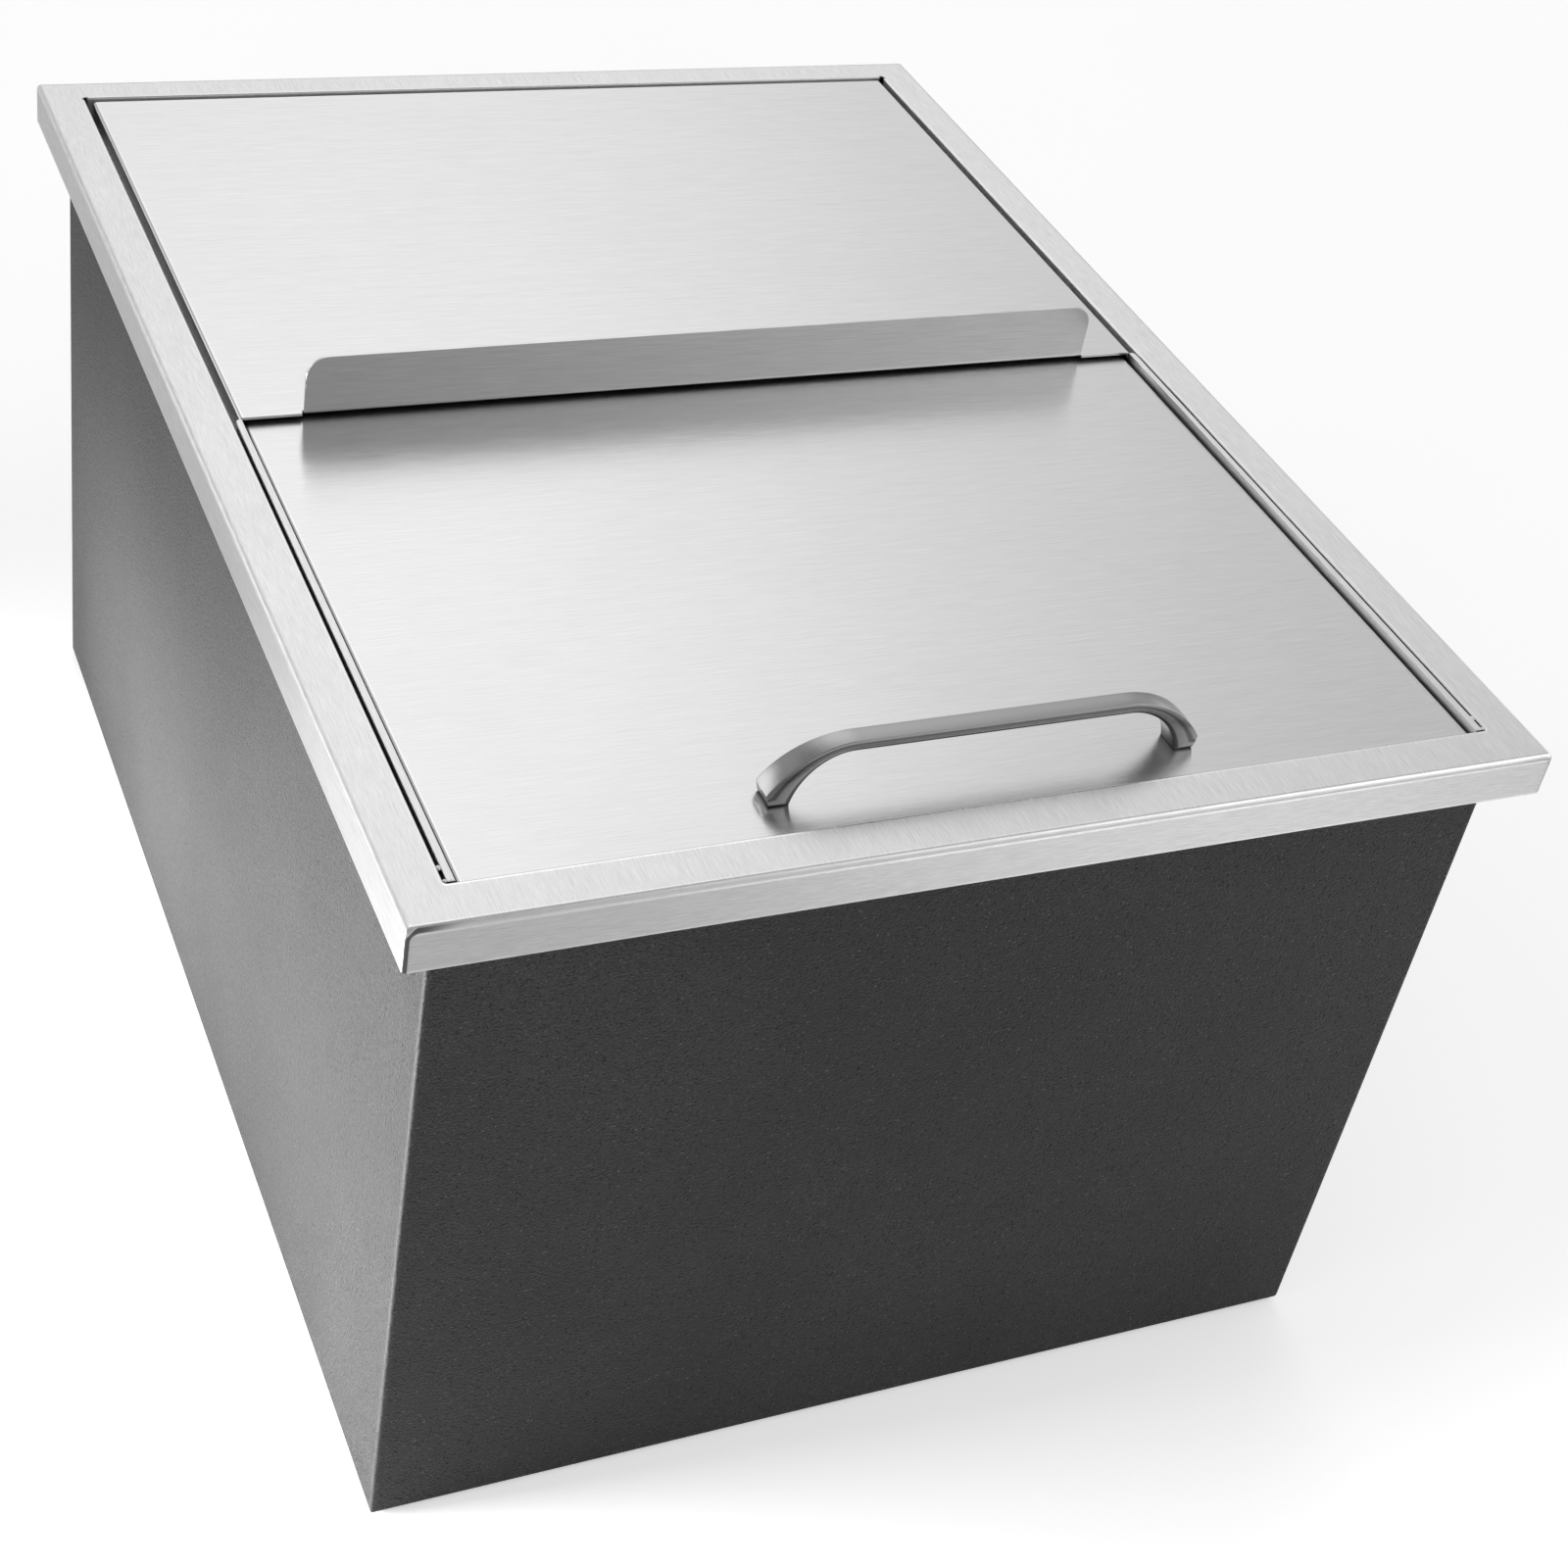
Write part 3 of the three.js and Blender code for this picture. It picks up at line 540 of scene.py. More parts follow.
def lay_map(mesh, along, across):
    """Gives each corner of each face its place on the grain map."""
    layer = mesh.uv_layers.new(name=GRAIN_MAP)
    layer.data.foreach_set("uv", np.stack([along, across], axis=1).ravel())


def lay_grain(mesh, top="x", side="y", end="x"):
    """Gives the mesh a map in metres whose first axis runs along the grain. A face that lies within 20
    degrees of level is a top; of the others, one that faces more along X is a side, and the rest are
    ends. Each kind of face is named the axis that its grain follows, and lies a metre from the others
    across the map."""
    x, y, z = face_corners(mesh)
    facing = np.empty(len(mesh.polygons) * 3)
    mesh.polygons.foreach_get("normal", facing)
    corners = np.empty(len(mesh.polygons), np.int64)
    mesh.polygons.foreach_get("loop_total", corners)
    across_x, across_y, level = np.abs(np.repeat(facing.reshape(-1, 3), corners, axis=0)).T
    is_top = level > math.cos(math.radians(20))
    is_side = ~is_top & (across_x > across_y)
    tops = (y, x) if top == "y" else (x, y)
    sides = (z, y) if side == "z" else (y, z)
    ends = (z, x) if end == "z" else (x, z)
    along = np.select([is_top, is_side], [tops[0], sides[0]], ends[0])
    across = np.select([is_top, is_side], [tops[1], sides[1] + 1.0], ends[1] + 2.0)
    lay_map(mesh, along, across)


def lay_turned_grain(mesh, centre):
    """Gives a turned mesh a map whose first axis runs round it: the angle times the radius, and the
    height plus the radius."""
    x, y, z = face_corners(mesh)
    radius = np.hypot(x - centre[0], y - centre[1])
    turn = np.arctan2(y - centre[1], x - centre[0])
    lay_map(mesh, turn * radius, z + radius)


def place_piece(mesh, finish, body, nodes):
    """Links the mesh as an object that rides on a body, takes a slot's finish and stands for packed
    nodes."""
    piece = bpy.data.objects.new(mesh.name, mesh)
    bpy.context.scene.collection.objects.link(piece)
    mesh.materials.append(finish)
    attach(piece, body)
    if nodes:
        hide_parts(*nodes)
    return piece


def give_thickness(piece, thickness, rounding):
    """Gives an open skin its sheet thickness behind its face, and rounds the cut edges."""
    wall = piece.modifiers.new("Sheet", "SOLIDIFY")
    wall.thickness = thickness
    wall.offset = -1.0
    wall.use_even_offset = True
    round_edges(piece, rounding)


def round_edges(piece, rounding):
    """Rounds sharp edges and weights the normals by face area."""
    edge = piece.modifiers.new("Edges", "BEVEL")
    edge.width = rounding
    edge.segments = 2
    edge.limit_method = "ANGLE"
    edge.angle_limit = math.radians(50)
    edge.miter_outer = "MITER_ARC"
    edge.use_clamp_overlap = True
    steady = piece.modifiers.new("Shading", "WEIGHTED_NORMAL")
    steady.keep_sharp = True
    steady.weight = 60


# Shader groups that several finishes use


def new_group(name, inputs, outputs):
    """A shader group, with the sockets that it is given and those that it puts out. Inputs are numbers
    with their defaults, or a vector where the default is None. Outputs are numbers."""
    tree = bpy.data.node_groups.new(name, "ShaderNodeTree")
    for label, default in inputs.items():
        kind = "NodeSocketVector" if default is None else "NodeSocketFloat"
        socket = tree.interface.new_socket(name=label, in_out="INPUT", socket_type=kind)
        if default is not None:
            socket.default_value = default
    for label in outputs:
        tree.interface.new_socket(name=label, in_out="OUTPUT", socket_type="NodeSocketFloat")
    given = tree.nodes.new("NodeGroupInput").outputs
    put = tree.nodes.new("NodeGroupOutput").inputs
    return tree, given, put


def wire(tree, source, target):
    """Links two sockets, or sets the second to a value."""
    if isinstance(source, bpy.types.NodeSocket):
        tree.links.new(source, target)
    else:
        target.default_value = source


def maths(tree, operation, *values, clamp=False):
    """A Math node over sockets or numbers, and its result."""
    made = tree.nodes.new("ShaderNodeMath")
    made.operation = operation
    made.use_clamp = clamp
    for value, socket in zip(values, made.inputs):
        wire(tree, value, socket)
    return made.outputs[0]


def plus(tree, first, second):
    """The sum of two sockets or numbers."""
    return maths(tree, "ADD", first, second)


def minus(tree, first, second):
    """The first of two sockets or numbers less the second."""
    return maths(tree, "SUBTRACT", first, second)


def times(tree, first, second, clamp=False):
    """The product of two sockets or numbers."""
    return maths(tree, "MULTIPLY", first, second, clamp=clamp)


def vector_maths(tree, operation, first, second):
    """A Vector Math node over two sockets or triples, and its outputs."""
    made = tree.nodes.new("ShaderNodeVectorMath")
    made.operation = operation
    wire(tree, first, made.inputs[0])
    wire(tree, second, made.inputs[1])
    return made.outputs


def vector_of(tree, x, y, z):
    """A vector of three sockets or numbers."""
    made = tree.nodes.new("ShaderNodeCombineXYZ")
    for value, socket in zip((x, y, z), made.inputs):
        wire(tree, value, socket)
    return made.outputs[0]


def stretch(tree, vector, x, y):
    """The vector with its first two parts multiplied by sockets or numbers."""
    return vector_maths(tree, "MULTIPLY", vector, vector_of(tree, x, y, 1.0))[0]


def noise(tree, vector, scale=1.0, detail=2.0, roughness=0.5, distortion=0.0):
    """A noise texture's value."""
    made = tree.nodes.new("ShaderNodeTexNoise")
    wire(tree, vector, made.inputs["Vector"])
    wire(tree, scale, made.inputs["Scale"])
    made.inputs["Detail"].default_value = detail
    made.inputs["Roughness"].default_value = roughness
    made.inputs["Distortion"].default_value = distortion
    return made.outputs[0]


def ramp(tree, value, low, high, out_low=0.0, out_high=1.0):
    """The value carried smoothly from low..high to out_low..out_high."""
    made = tree.nodes.new("ShaderNodeMapRange")
    made.interpolation_type = "SMOOTHSTEP"
    for socket, number in zip(made.inputs, (value, low, high, out_low, out_high)):
        wire(tree, number, socket)
    return made.outputs[0]


def spread(tree, value, low=0.0, high=1.0):
    """A noise's value, of which nearly all lies from 0.3 to 0.7, carried smoothly to low..high."""
    return ramp(tree, value, 0.3, 0.7, low, high)


def mix_colour(tree, factor, first, second):
    """A mix of two colours by a factor."""
    made = tree.nodes.new("ShaderNodeMix")
    made.data_type = "RGBA"
    wire(tree, factor, made.inputs["Factor"])
    wire(tree, first, made.inputs["A"])
    wire(tree, second, made.inputs["B"])
    return made.outputs["Result"]


def tone(value, factor):
    """A colour as four numbers, made lighter or darker."""
    return (*(min(1.0, part * factor) for part in value), 1.0)


def shade(tree, value, base, dark, light):
    """The base colour from its dark tone to its light one, as a noise's value rises."""
    return mix_colour(tree, spread(tree, value), tone(base, dark), tone(base, light))


def cover(tree, under, mask, base, factor):
    """A colour with a tone of the base colour laid over it, as thickly as the mask."""
    return mix_colour(tree, mask, under, tone(base, factor))


def brush_group():
    """Straight brush marks: fine streaks, broad bands and a few thin scratches, all stretched along the
    first axis of the vector. Streaks and bands lie about 0.5, and scratches are 0 but for a few
    lines."""
    tree, given, put = new_group(
        "Brush Grain",
        {"Vector": None, "Streak Length": 30 * MM, "Streak Width": 0.4 * MM},
        ("Streaks", "Bands", "Scratches"),
    )
    vector = given["Vector"]
    along = maths(tree, "DIVIDE", 1.0, given["Streak Length"])
    across = maths(tree, "DIVIDE", 1.0, given["Streak Width"])
    waver = maths(tree, "DIVIDE", noise(tree, vector, times(tree, along, 0.5), detail=1.0), across)
    wavy = vector_maths(tree, "ADD", vector, vector_of(tree, 0.0, waver, 0.0))[0]
    streaks = noise(tree, stretch(tree, wavy, along, across), detail=3.0, roughness=0.72)
    wide = stretch(tree, vector, times(tree, along, 0.22), times(tree, across, 0.09))
    thin = stretch(tree, vector, times(tree, along, 0.35), times(tree, across, 0.55))
    wire(tree, streaks, put["Streaks"])
    wire(tree, noise(tree, wide, roughness=0.6), put["Bands"])
    wire(tree, ramp(tree, noise(tree, thin, detail=0.0), 0.83, 0.9), put["Scratches"])
    return tree


def haze_group():
    """Wiping and handling marks: large soft patches, about 0.5, with faint finer ones inside them."""
    tree, given, put = new_group("Handling Haze", {"Vector": None, "Patch Size": 120 * MM}, ("Haze",))
    vector = given["Vector"]
    scale = maths(tree, "DIVIDE", 1.0, given["Patch Size"])
    large = noise(tree, vector, scale, detail=3.0, roughness=0.55, distortion=0.6)
    small = noise(tree, vector, times(tree, scale, 6.0), roughness=0.6, distortion=0.3)
    wire(tree, plus(tree, times(tree, large, 0.75), times(tree, small, 0.25)), put["Haze"])
    return tree


def polish_and_highlight_group():
    """A fold's gloss and painted highlight: 0 on flat sheet and up to 1 on a fold, broken up along its
    length.
    """
    tree, given, put = new_group("Fold Polish", {"Vector": None, "Fold": 0.0}, ("Polish",))
    patches = noise(tree, given["Vector"], 70.0, detail=3.0, roughness=0.6)
    uneven = ramp(tree, patches, 0.25, 0.75, 0.55, 1.0)
    wire(tree, times(tree, given["Fold"], uneven, clamp=True), put["Polish"])
    return tree


def powder_group():
    """Textured powder coat: orange peel relief of the given size, fine pits and specks, and a slow
    drift of tone."""
    tree, given, put = new_group(
        "Powder Texture",
        {"Vector": None, "Peel Size": 1.1 * MM},
        ("Relief", "Light Specks", "Pits", "Drift"),
    )
    vector = given["Vector"]
    scale = maths(tree, "DIVIDE", 1.0, given["Peel Size"])
    peel = noise(tree, vector, scale, roughness=0.55)
    coarse = noise(tree, vector, times(tree, scale, 0.4), detail=1.0)
    specks = noise(tree, vector, times(tree, scale, 1.05), detail=0.0)
    pits = noise(tree, vector, times(tree, scale, 0.8), detail=0.0)
    wire(tree, plus(tree, times(tree, peel, 0.8), times(tree, coarse, 0.2)), put["Relief"])
    wire(tree, ramp(tree, specks, 0.74, 0.82), put["Light Specks"])
    wire(tree, ramp(tree, pits, 0.31, 0.24), put["Pits"])
    wire(tree, noise(tree, vector, 7.0, detail=3.0, roughness=0.6), put["Drift"])
    return tree


def seam_group():
    """The dressed weld at a front corner, from 0 to 1. Along is the distance in from the side and down
    the distance from the top. The seam is a line at its width inside both edges, which meet in a
    rounded corner: |length(max(round - along, 0), max(round - down, 0)) - round| < width, with along
    and down less the width. It fades out along its reach."""
    tree, given, put = new_group(
        "Dressed Seam",
        {"Along": 0.0, "Down": 0.0, "Width": 0.9 * MM, "Round": 4 * MM, "Reach": 26 * MM},
        ("Seam",),
    )
    width, rounding, reach = given["Width"], given["Round"], given["Reach"]
    along = minus(tree, given["Along"], width)
    down = minus(tree, given["Down"], width)
    left = maths(tree, "MAXIMUM", minus(tree, rounding, along), 0.0)
    over = maths(tree, "MAXIMUM", minus(tree, rounding, down), 0.0)
    span = maths(tree, "SQRT", plus(tree, times(tree, left, left), times(tree, over, over)))
    away = maths(tree, "ABSOLUTE", minus(tree, span, rounding))
    line = ramp(tree, away, times(tree, width, 0.5), width, 1.0, 0.0)
    fade = ramp(tree, given["Along"], times(tree, reach, 0.15), reach, 1.0, 0.0)
    wire(tree, times(tree, line, fade), put["Seam"])
    return tree


def gap_shade_group():
    """Painted shade in narrow gaps: from 0 in the open to the strength where most of the surroundings are
    hidden."""
    tree, given, put = new_group("Gap Soil", {"Open": 1.0, "Strength": 1.0}, ("Soil",))
    shade_amount = ramp(tree, given["Open"], 0.5, 0.1)
    wire(tree, times(tree, shade_amount, given["Strength"], clamp=True), put["Soil"])
    return tree


GROUP_MAKERS = {
    "Gap Soil": gap_shade_group,
    "Dressed Seam": seam_group,
    "Brush Grain": brush_group,
    "Handling Haze": haze_group,
    "Fold Polish": polish_and_highlight_group,
    "Powder Texture": powder_group,
}


def use_group(tree, name, **values):
    """A node that holds a shared group, made at its first use. Underlines in the names stand for
    spaces."""
    made = tree.nodes.new("ShaderNodeGroup")
    made.node_tree = bpy.data.node_groups.get(name) or GROUP_MAKERS[name]()
    for label, value in values.items():
        wire(tree, value, made.inputs[label.replace("_", " ")])
    return made.outputs


# Materials


class Brush(NamedTuple):
    """How metal is brushed: the streaks' length and width, how far their tone varies, and how far they
    draw highlights out across the grain"""

    streak_length: float
    streak_width: float
    contrast: float
    anisotropy: float


class Skin(NamedTuple):
    """How a moulded surface is mottled: the size of its patches and the depth of its grain"""

    patch: float
    relief: float


LID_BRUSH = Brush(22 * MM, 0.45 * MM, 0.08, 0.92)
RIM_BRUSH = Brush(10 * MM, 0.5 * MM, 0.13, 0.75)
TUB_BRUSH = Brush(50 * MM, 0.6 * MM, 0.03, 0.5)
TURNED_BRUSH = Brush(50 * MM, 0.3 * MM, 0.05, 0.5)
HANDLE_BRUSH = Brush(20 * MM, 0.25 * MM, 0.05, 0.45)
FOAM_SKIN = Skin(10 * MM, 0.6 * MM)
RUBBER_SKIN = Skin(6 * MM, 0.1 * MM)
FIBRE_SKIN = Skin(3 * MM, 0.1 * MM)


def new_material(name):
    """A material with its tree, its Principled shader's inputs and its Object coordinates."""
    made = bpy.data.materials.new(name)
    made.use_nodes = True
    tree = made.node_tree
    places = tree.nodes.new("ShaderNodeTexCoord").outputs["Object"]
    return made, tree, tree.nodes["Principled BSDF"].inputs, places


def add_bump(tree, shader, height, strength, distance):
    """Feeds a Bump node's normal to the shader."""
    made = tree.nodes.new("ShaderNodeBump")
    made.inputs["Strength"].default_value = strength
    made.inputs["Distance"].default_value = distance
    wire(tree, height, made.inputs["Height"])
    wire(tree, made.outputs["Normal"], shader["Normal"])


def fold_mark(tree):
    """The mesh's fold mark: above 0 polishing with a painted highlight on steel and smoother powder coat,
    below 0 painted shade.
    """
    made = tree.nodes.new("ShaderNodeAttribute")
    made.attribute_name = FOLD_MARK
    return made.outputs["Fac"]


def front_seam(tree, places, rim):
    """The dressed seams of the rim's front: the left one in full and the right one faintly."""
    low, high = node_box("rim_frame")
    parts = tree.nodes.new("ShaderNodeSeparateXYZ")
    wire(tree, places, parts.inputs[0])
    x, y, z = parts.outputs
    seam = use_group(
        tree,
        "Dressed Seam",
        Along=minus(tree, float(high[0]), maths(tree, "ABSOLUTE", x)),
        Down=minus(tree, float(high[2]), z),
        Width=rim.seam_width,
        Round=rim.seam_round,
        Reach=rim.seam_reach,
    )["Seam"]
    margin = 3 * rim.seam_width
    front = ramp(tree, y, float(low[1]) + margin, float(low[1]) + 0.6 * margin)
    left = ramp(tree, x, margin, -margin, 0.25, 1.0)
    return times(tree, times(tree, seam, front), left)


def gap_shade(tree):
    """Painted shade where other surfaces lie near, read from ambient occlusion."""
    hidden = tree.nodes.new("ShaderNodeAmbientOcclusion")
    hidden.samples = 8
    hidden.inputs["Distance"].default_value = GAP_WIDTH
    return use_group(tree, "Gap Soil", Open=hidden.outputs["AO"], Strength=0.93)["Soil"]


def brushed_material(name, base, roughness, brush, rim=None):
    """Brushed metal: streaks in colour, roughness and relief along the grain map, haze, polished folds
    whose colour is lightened as a painted highlight, and painted shade in narrow gaps and on marks below
    0. With the rim's settings it has the rim's dressed seams too, and its folds are glossier."""
    made, tree, shader, places = new_material(name)
    laid = tree.nodes.new("ShaderNodeUVMap")
    laid.uv_map = GRAIN_MAP
    grain = use_group(
        tree,
        "Brush Grain",
        Vector=laid.outputs[0],
        Streak_Length=brush.streak_length,
        Streak_Width=brush.streak_width,
    )
    haze = use_group(tree, "Handling Haze", Vector=places)["Haze"]
    fold = fold_mark(tree)
    polish_and_highlight = use_group(tree, "Fold Polish", Vector=places, Fold=fold)["Polish"]
    streak = plus(tree, times(tree, grain["Streaks"], 0.86), times(tree, grain["Bands"], 0.14))
    shown = shade(tree, streak, base, 1 - brush.contrast, 1 + brush.contrast)
    shown = cover(tree, shown, times(tree, grain["Scratches"], 0.35), base, 1.25)
    # Painted highlight: the colour lightened towards 1.16 of the base on polished folds
    shown = cover(tree, shown, times(tree, polish_and_highlight, 0.7), base, 1.16)
    height = streak
    if rim:
        seam = front_seam(tree, places, rim)
        shown = cover(tree, shown, times(tree, seam, 0.95), base, 0.16)
        height = minus(tree, streak, times(tree, seam, 2.0))
    # Painted shade: the colour darkened towards 0.04 of the base in narrow gaps and on marks below 0
    painted_shade = maths(tree, "MAXIMUM", gap_shade(tree), times(tree, fold, -1.0))
    wire(tree, cover(tree, shown, painted_shade, base, 0.04), shader["Base Color"])
    uneven = plus(tree, roughness, ramp(tree, haze, 0.35, 0.65, -0.006, 0.008))
    rough = plus(tree, uneven, spread(tree, streak, -0.02, 0.02))
    gloss = 0.18 if rim else 0.06
    wire(tree, minus(tree, rough, times(tree, polish_and_highlight, gloss)), shader["Roughness"])
    shader["Metallic"].default_value = 1.0
    shader["Anisotropic"].default_value = brush.anisotropy
    shader["Anisotropic Rotation"].default_value = 0.25
    direction = tree.nodes.new("ShaderNodeTangent")
    direction.direction_type = "UV_MAP"
    direction.uv_map = GRAIN_MAP
    wire(tree, direction.outputs[0], shader["Tangent"])
    add_bump(tree, shader, height, strength=0.12, distance=0.2 * MM)
    return made


def powder_material(name, base, roughness):
    """Dark textured powder coat: sandy grain in relief, with its low places painted darker as painted
    shade of the relief, light specks, pits and a slow drift of tone. The relief is weaker on marked
    edges, where powder flows out."""
    made, tree, shader, places = new_material(name)
    coat = use_group(tree, "Powder Texture", Vector=places)
    relief, pits = coat["Relief"], coat["Pits"]
    drift = shade(tree, coat["Drift"], base, 0.9, 1.35)
    # Painted shade: the grain's low places darkened towards 0.45 of the base, standing in for the
    # relief's shading
    shown = mix_colour(tree, ramp(tree, relief, 0.36, 0.64), tone(base, 0.45), drift)
    shown = cover(tree, shown, pits, base, 0.1)
    shown = cover(tree, shown, times(tree, coat["Light Specks"], 0.8), base, 3.6)
    wire(tree, shown, shader["Base Color"])
    wire(tree, plus(tree, roughness, spread(tree, relief, -0.06, 0.08)), shader["Roughness"])
    height = minus(tree, minus(tree, relief, times(tree, pits, 0.3)), 0.5)
    height = times(tree, height, minus(tree, 1.0, fold_mark(tree)))
    add_bump(tree, shader, height, strength=1.0, distance=4 * MM)
    return made


def moulded_material(name, base, roughness, skin):
    """Rubber, foam or fibre: patchy tone, uneven gloss and a fine grain."""
    made, tree, shader, places = new_material(name)
    haze = use_group(tree, "Handling Haze", Vector=places, Patch_Size=skin.patch)["Haze"]
    wire(tree, shade(tree, haze, base, 0.8, 1.2), shader["Base Color"])
    wire(tree, spread(tree, haze, roughness - 0.08, roughness + 0.08), shader["Roughness"])
    grain = use_group(tree, "Powder Texture", Vector=places, Peel_Size=skin.patch / 8)
    add_bump(tree, shader, grain["Relief"], strength=0.6, distance=skin.relief)
    return made


def plated_material(name, base, roughness):
    """Bright plated or turned metal with faint haze and fine relief."""
    made, tree, shader, places = new_material(name)
    haze = use_group(tree, "Handling Haze", Vector=places, Patch_Size=4 * MM)["Haze"]
    wire(tree, shade(tree, haze, base, 0.86, 1.08), shader["Base Color"])
    wire(tree, spread(tree, haze, roughness - 0.06, roughness + 0.1), shader["Roughness"])
    shader["Metallic"].default_value = 1.0
    add_bump(tree, shader, haze, strength=0.2, distance=0.1 * MM)
    return made


def material(name):
    """The named material, made at its first use."""
    found = bpy.data.materials.get(name)
    if found:
        return found
    finish, rim = bpy.context.scene.ice_bin.finish, bpy.context.scene.ice_bin.rim
    recipes = {
        "brushed_lid": (brushed_material, finish.steel, finish.lid_roughness, LID_BRUSH),
        "brushed_rim": (brushed_material, finish.rim_steel, finish.rim_roughness, RIM_BRUSH, rim),
        "brushed_tub": (brushed_material, finish.tub_steel, finish.tub_roughness, TUB_BRUSH),
        "turned_steel": (brushed_material, finish.steel, finish.turned_roughness, TURNED_BRUSH),
        "handle_nickel": (brushed_material, finish.nickel, finish.nickel_roughness, HANDLE_BRUSH),
        "textured_casing": (powder_material, finish.casing, finish.casing_roughness),
        "rigid_foam": (moulded_material, finish.foam, finish.foam_roughness, FOAM_SKIN),
        "black_rubber": (moulded_material, finish.rubber, finish.rubber_roughness, RUBBER_SKIN),
        "brown_fibre": (moulded_material, finish.fibre, finish.fibre_roughness, FIBRE_SKIN),
        "plain_brass": (plated_material, finish.brass, finish.brass_roughness),
        "bright_zinc": (plated_material, finish.zinc, finish.zinc_roughness),
    }
    make, *values = recipes[name]
    return make(name, *values)


def finish_node(node, name):
    """Gives a packed node a material in all its slots."""
    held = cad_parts[node].data.materials
    held.clear()
    held.append(material(name))


# Pieces


def sink(grid, track, depth, rows):
    """Lowers the inner part of a flat sheet in place: by depth times the root of the product of two
    half sine waves, with two slow ripples on top, from nothing at the track to the most in the
    middle."""
    x0, x1, y0, y1, _ = track
    across = np.clip((grid[rows, :, 0] - x0) / (x1 - x0), 0.0, 1.0)
    along = np.clip((grid[rows, :, 1] - y0) / (y1 - y0), 0.0, 1.0)
    dome = np.sqrt(np.sin(np.pi * across) * np.sin(np.pi * along))
    ripple = 1 + 0.25 * np.sin(5 * across + 2) * np.cos(4 * along + 1)
    grid[rows, :, 2] -= depth * np.clip(dome, 0.0, 1.0) * ripple / 1.25


class IceBinOperator:
    """What every operator of the ice bin shares"""

    bl_options = {"REGISTER", "UNDO"}


class ICEBIN_OT_rim(IceBinOperator, bpy.types.Operator):
    """Make the rim: return, outer drop, flange and inner drop in one folded sheet, with dressed
    corners"""

    bl_idname = "ice_bin.rim"
    bl_label = "Rim"

    def execute(self, context):
        settings = context.scene.ice_bin
        sheet, rim = settings.sheet, settings.rim
        low, high = node_box("rim_frame")
        outer = outline_of("rim_frame", rim.corner_radius)
        inner = recess_track(settings)
        casing = outline_of("outer_shell", settings.tub.casing_edge, rim.return_gap)
        radius, hem, tight = rim.outer_fold_radius, sheet.hem_radius, rim.inner_fold_radius
        support, facets = sheet.flat_support, sheet.bend_steps
        top = high[2]
        foot = node_box("inner_tub")[1][2]
        flange = rows_at(outer, radius + support, top)
        brink = rows_at(inner, [-tight - support - rim.bright_strip, -tight - support], top)
        rows, at = stack_rows(
            {
                "return": rows_at(casing, 0.0, low[2]),
                "hem": rows_at(outer, *bend(hem, low[2] + hem, hem, -90, 0, facets)),
                "outer drop": rows_at(outer, 0.0, [low[2] + hem + support, top - radius - support]),
                "outer fold": rows_at(outer, *bend(radius, top - radius, radius, 0, 90, facets)),
                "flange": np.concatenate([flange, rows_between(flange[0], brink[0], 3), brink]),
                "inner fold": rows_at(inner, *bend(-tight, top - tight, -tight, -90, 0, facets)),
                "inner drop": rows_at(inner, 0.0, [top - tight - support, foot]),
            }
        )
        grid = loop_grid(rows, sheet.arc_steps, sheet.side_steps)
        self.let_out_corners(grid, rim.relief, at["inner fold"], sheet)
        mesh = make_mesh("rim", Surface(grid, mark=self.fold_marks(grid, at, sheet)))
        lay_grain(mesh, top="y")
        piece = place_piece(mesh, material("brushed_rim"), "bin_body", ["rim_frame"])
        give_thickness(piece, sheet.thickness, sheet.edge_rounding)
        return {"FINISHED"}

    def fold_marks(self, grid, at, sheet):
        """Marks [row, place]: polished folds with a painted highlight, painted shade on the outer drop
        and in the recess's rear corners, and along the recess's front a polished line with a painted
        highlight that ends in a painted shadow line."""
        mark = np.zeros(grid.shape[:2])
        fold = at["inner fold"]
        left, right = corner_start(sheet, FRONT_LEFT), corner_start(sheet, FRONT_RIGHT)
        half = sheet.arc_steps // 2
        # The front's outer fold: polished, with a painted highlight
        mark[at["outer fold"], left : right + sheet.arc_steps] = POLISH_AND_HIGHLIGHT
        mark[at["hem"]] = HEM
        # The outer drop's colour darkened a little as painted shade
        mark[at["outer drop"]] = OUTER_DROP_SHADE
        mark[fold] = INNER_FOLD
        # Along the recess's front: a painted highlight on the fold's top and a painted shadow line below
        # it
        mark[fold.start - 1 : fold.start + 2, left + half : right + half] = POLISH_AND_HIGHLIGHT
        mark[fold.start + 2 : fold.stop, left + half : right + half] = SHADOW_LINE
        # The recess's rear corners darkened as painted shade
        for corner in (REAR_RIGHT, REAR_LEFT):
            start = corner_start(sheet, corner)
            mark[fold.start :, start : start + sheet.arc_steps + 1] = RECESS_CORNER_SHADE
        return mark

    def let_out_corners(self, grid, relief, fold, sheet):
        """Bulges the inner drop out at the recess's rear corners: each point of a corner's arc moves
        along the corner's diagonal by the relief times a squared sine of its place on the arc, and less
        on the fold."""
        turn = np.linspace(0.0, 1.0, sheet.arc_steps + 1)
        bulge = relief * np.sin(np.pi * turn) ** 2
        rows = np.arange(len(grid))[:, None]
        strength = np.clip((rows - fold.start) / (fold.stop - fold.start), 0.0, 1.0)
        for corner in (REAR_RIGHT, REAR_LEFT):
            start = corner_start(sheet, corner)
            places = slice(start, start + len(turn))
            diagonal = (corner + 0.5) * np.pi / 2
            grid[:, places, 0] += strength * bulge * np.cos(diagonal)
            grid[:, places, 1] += strength * bulge * np.sin(diagonal)


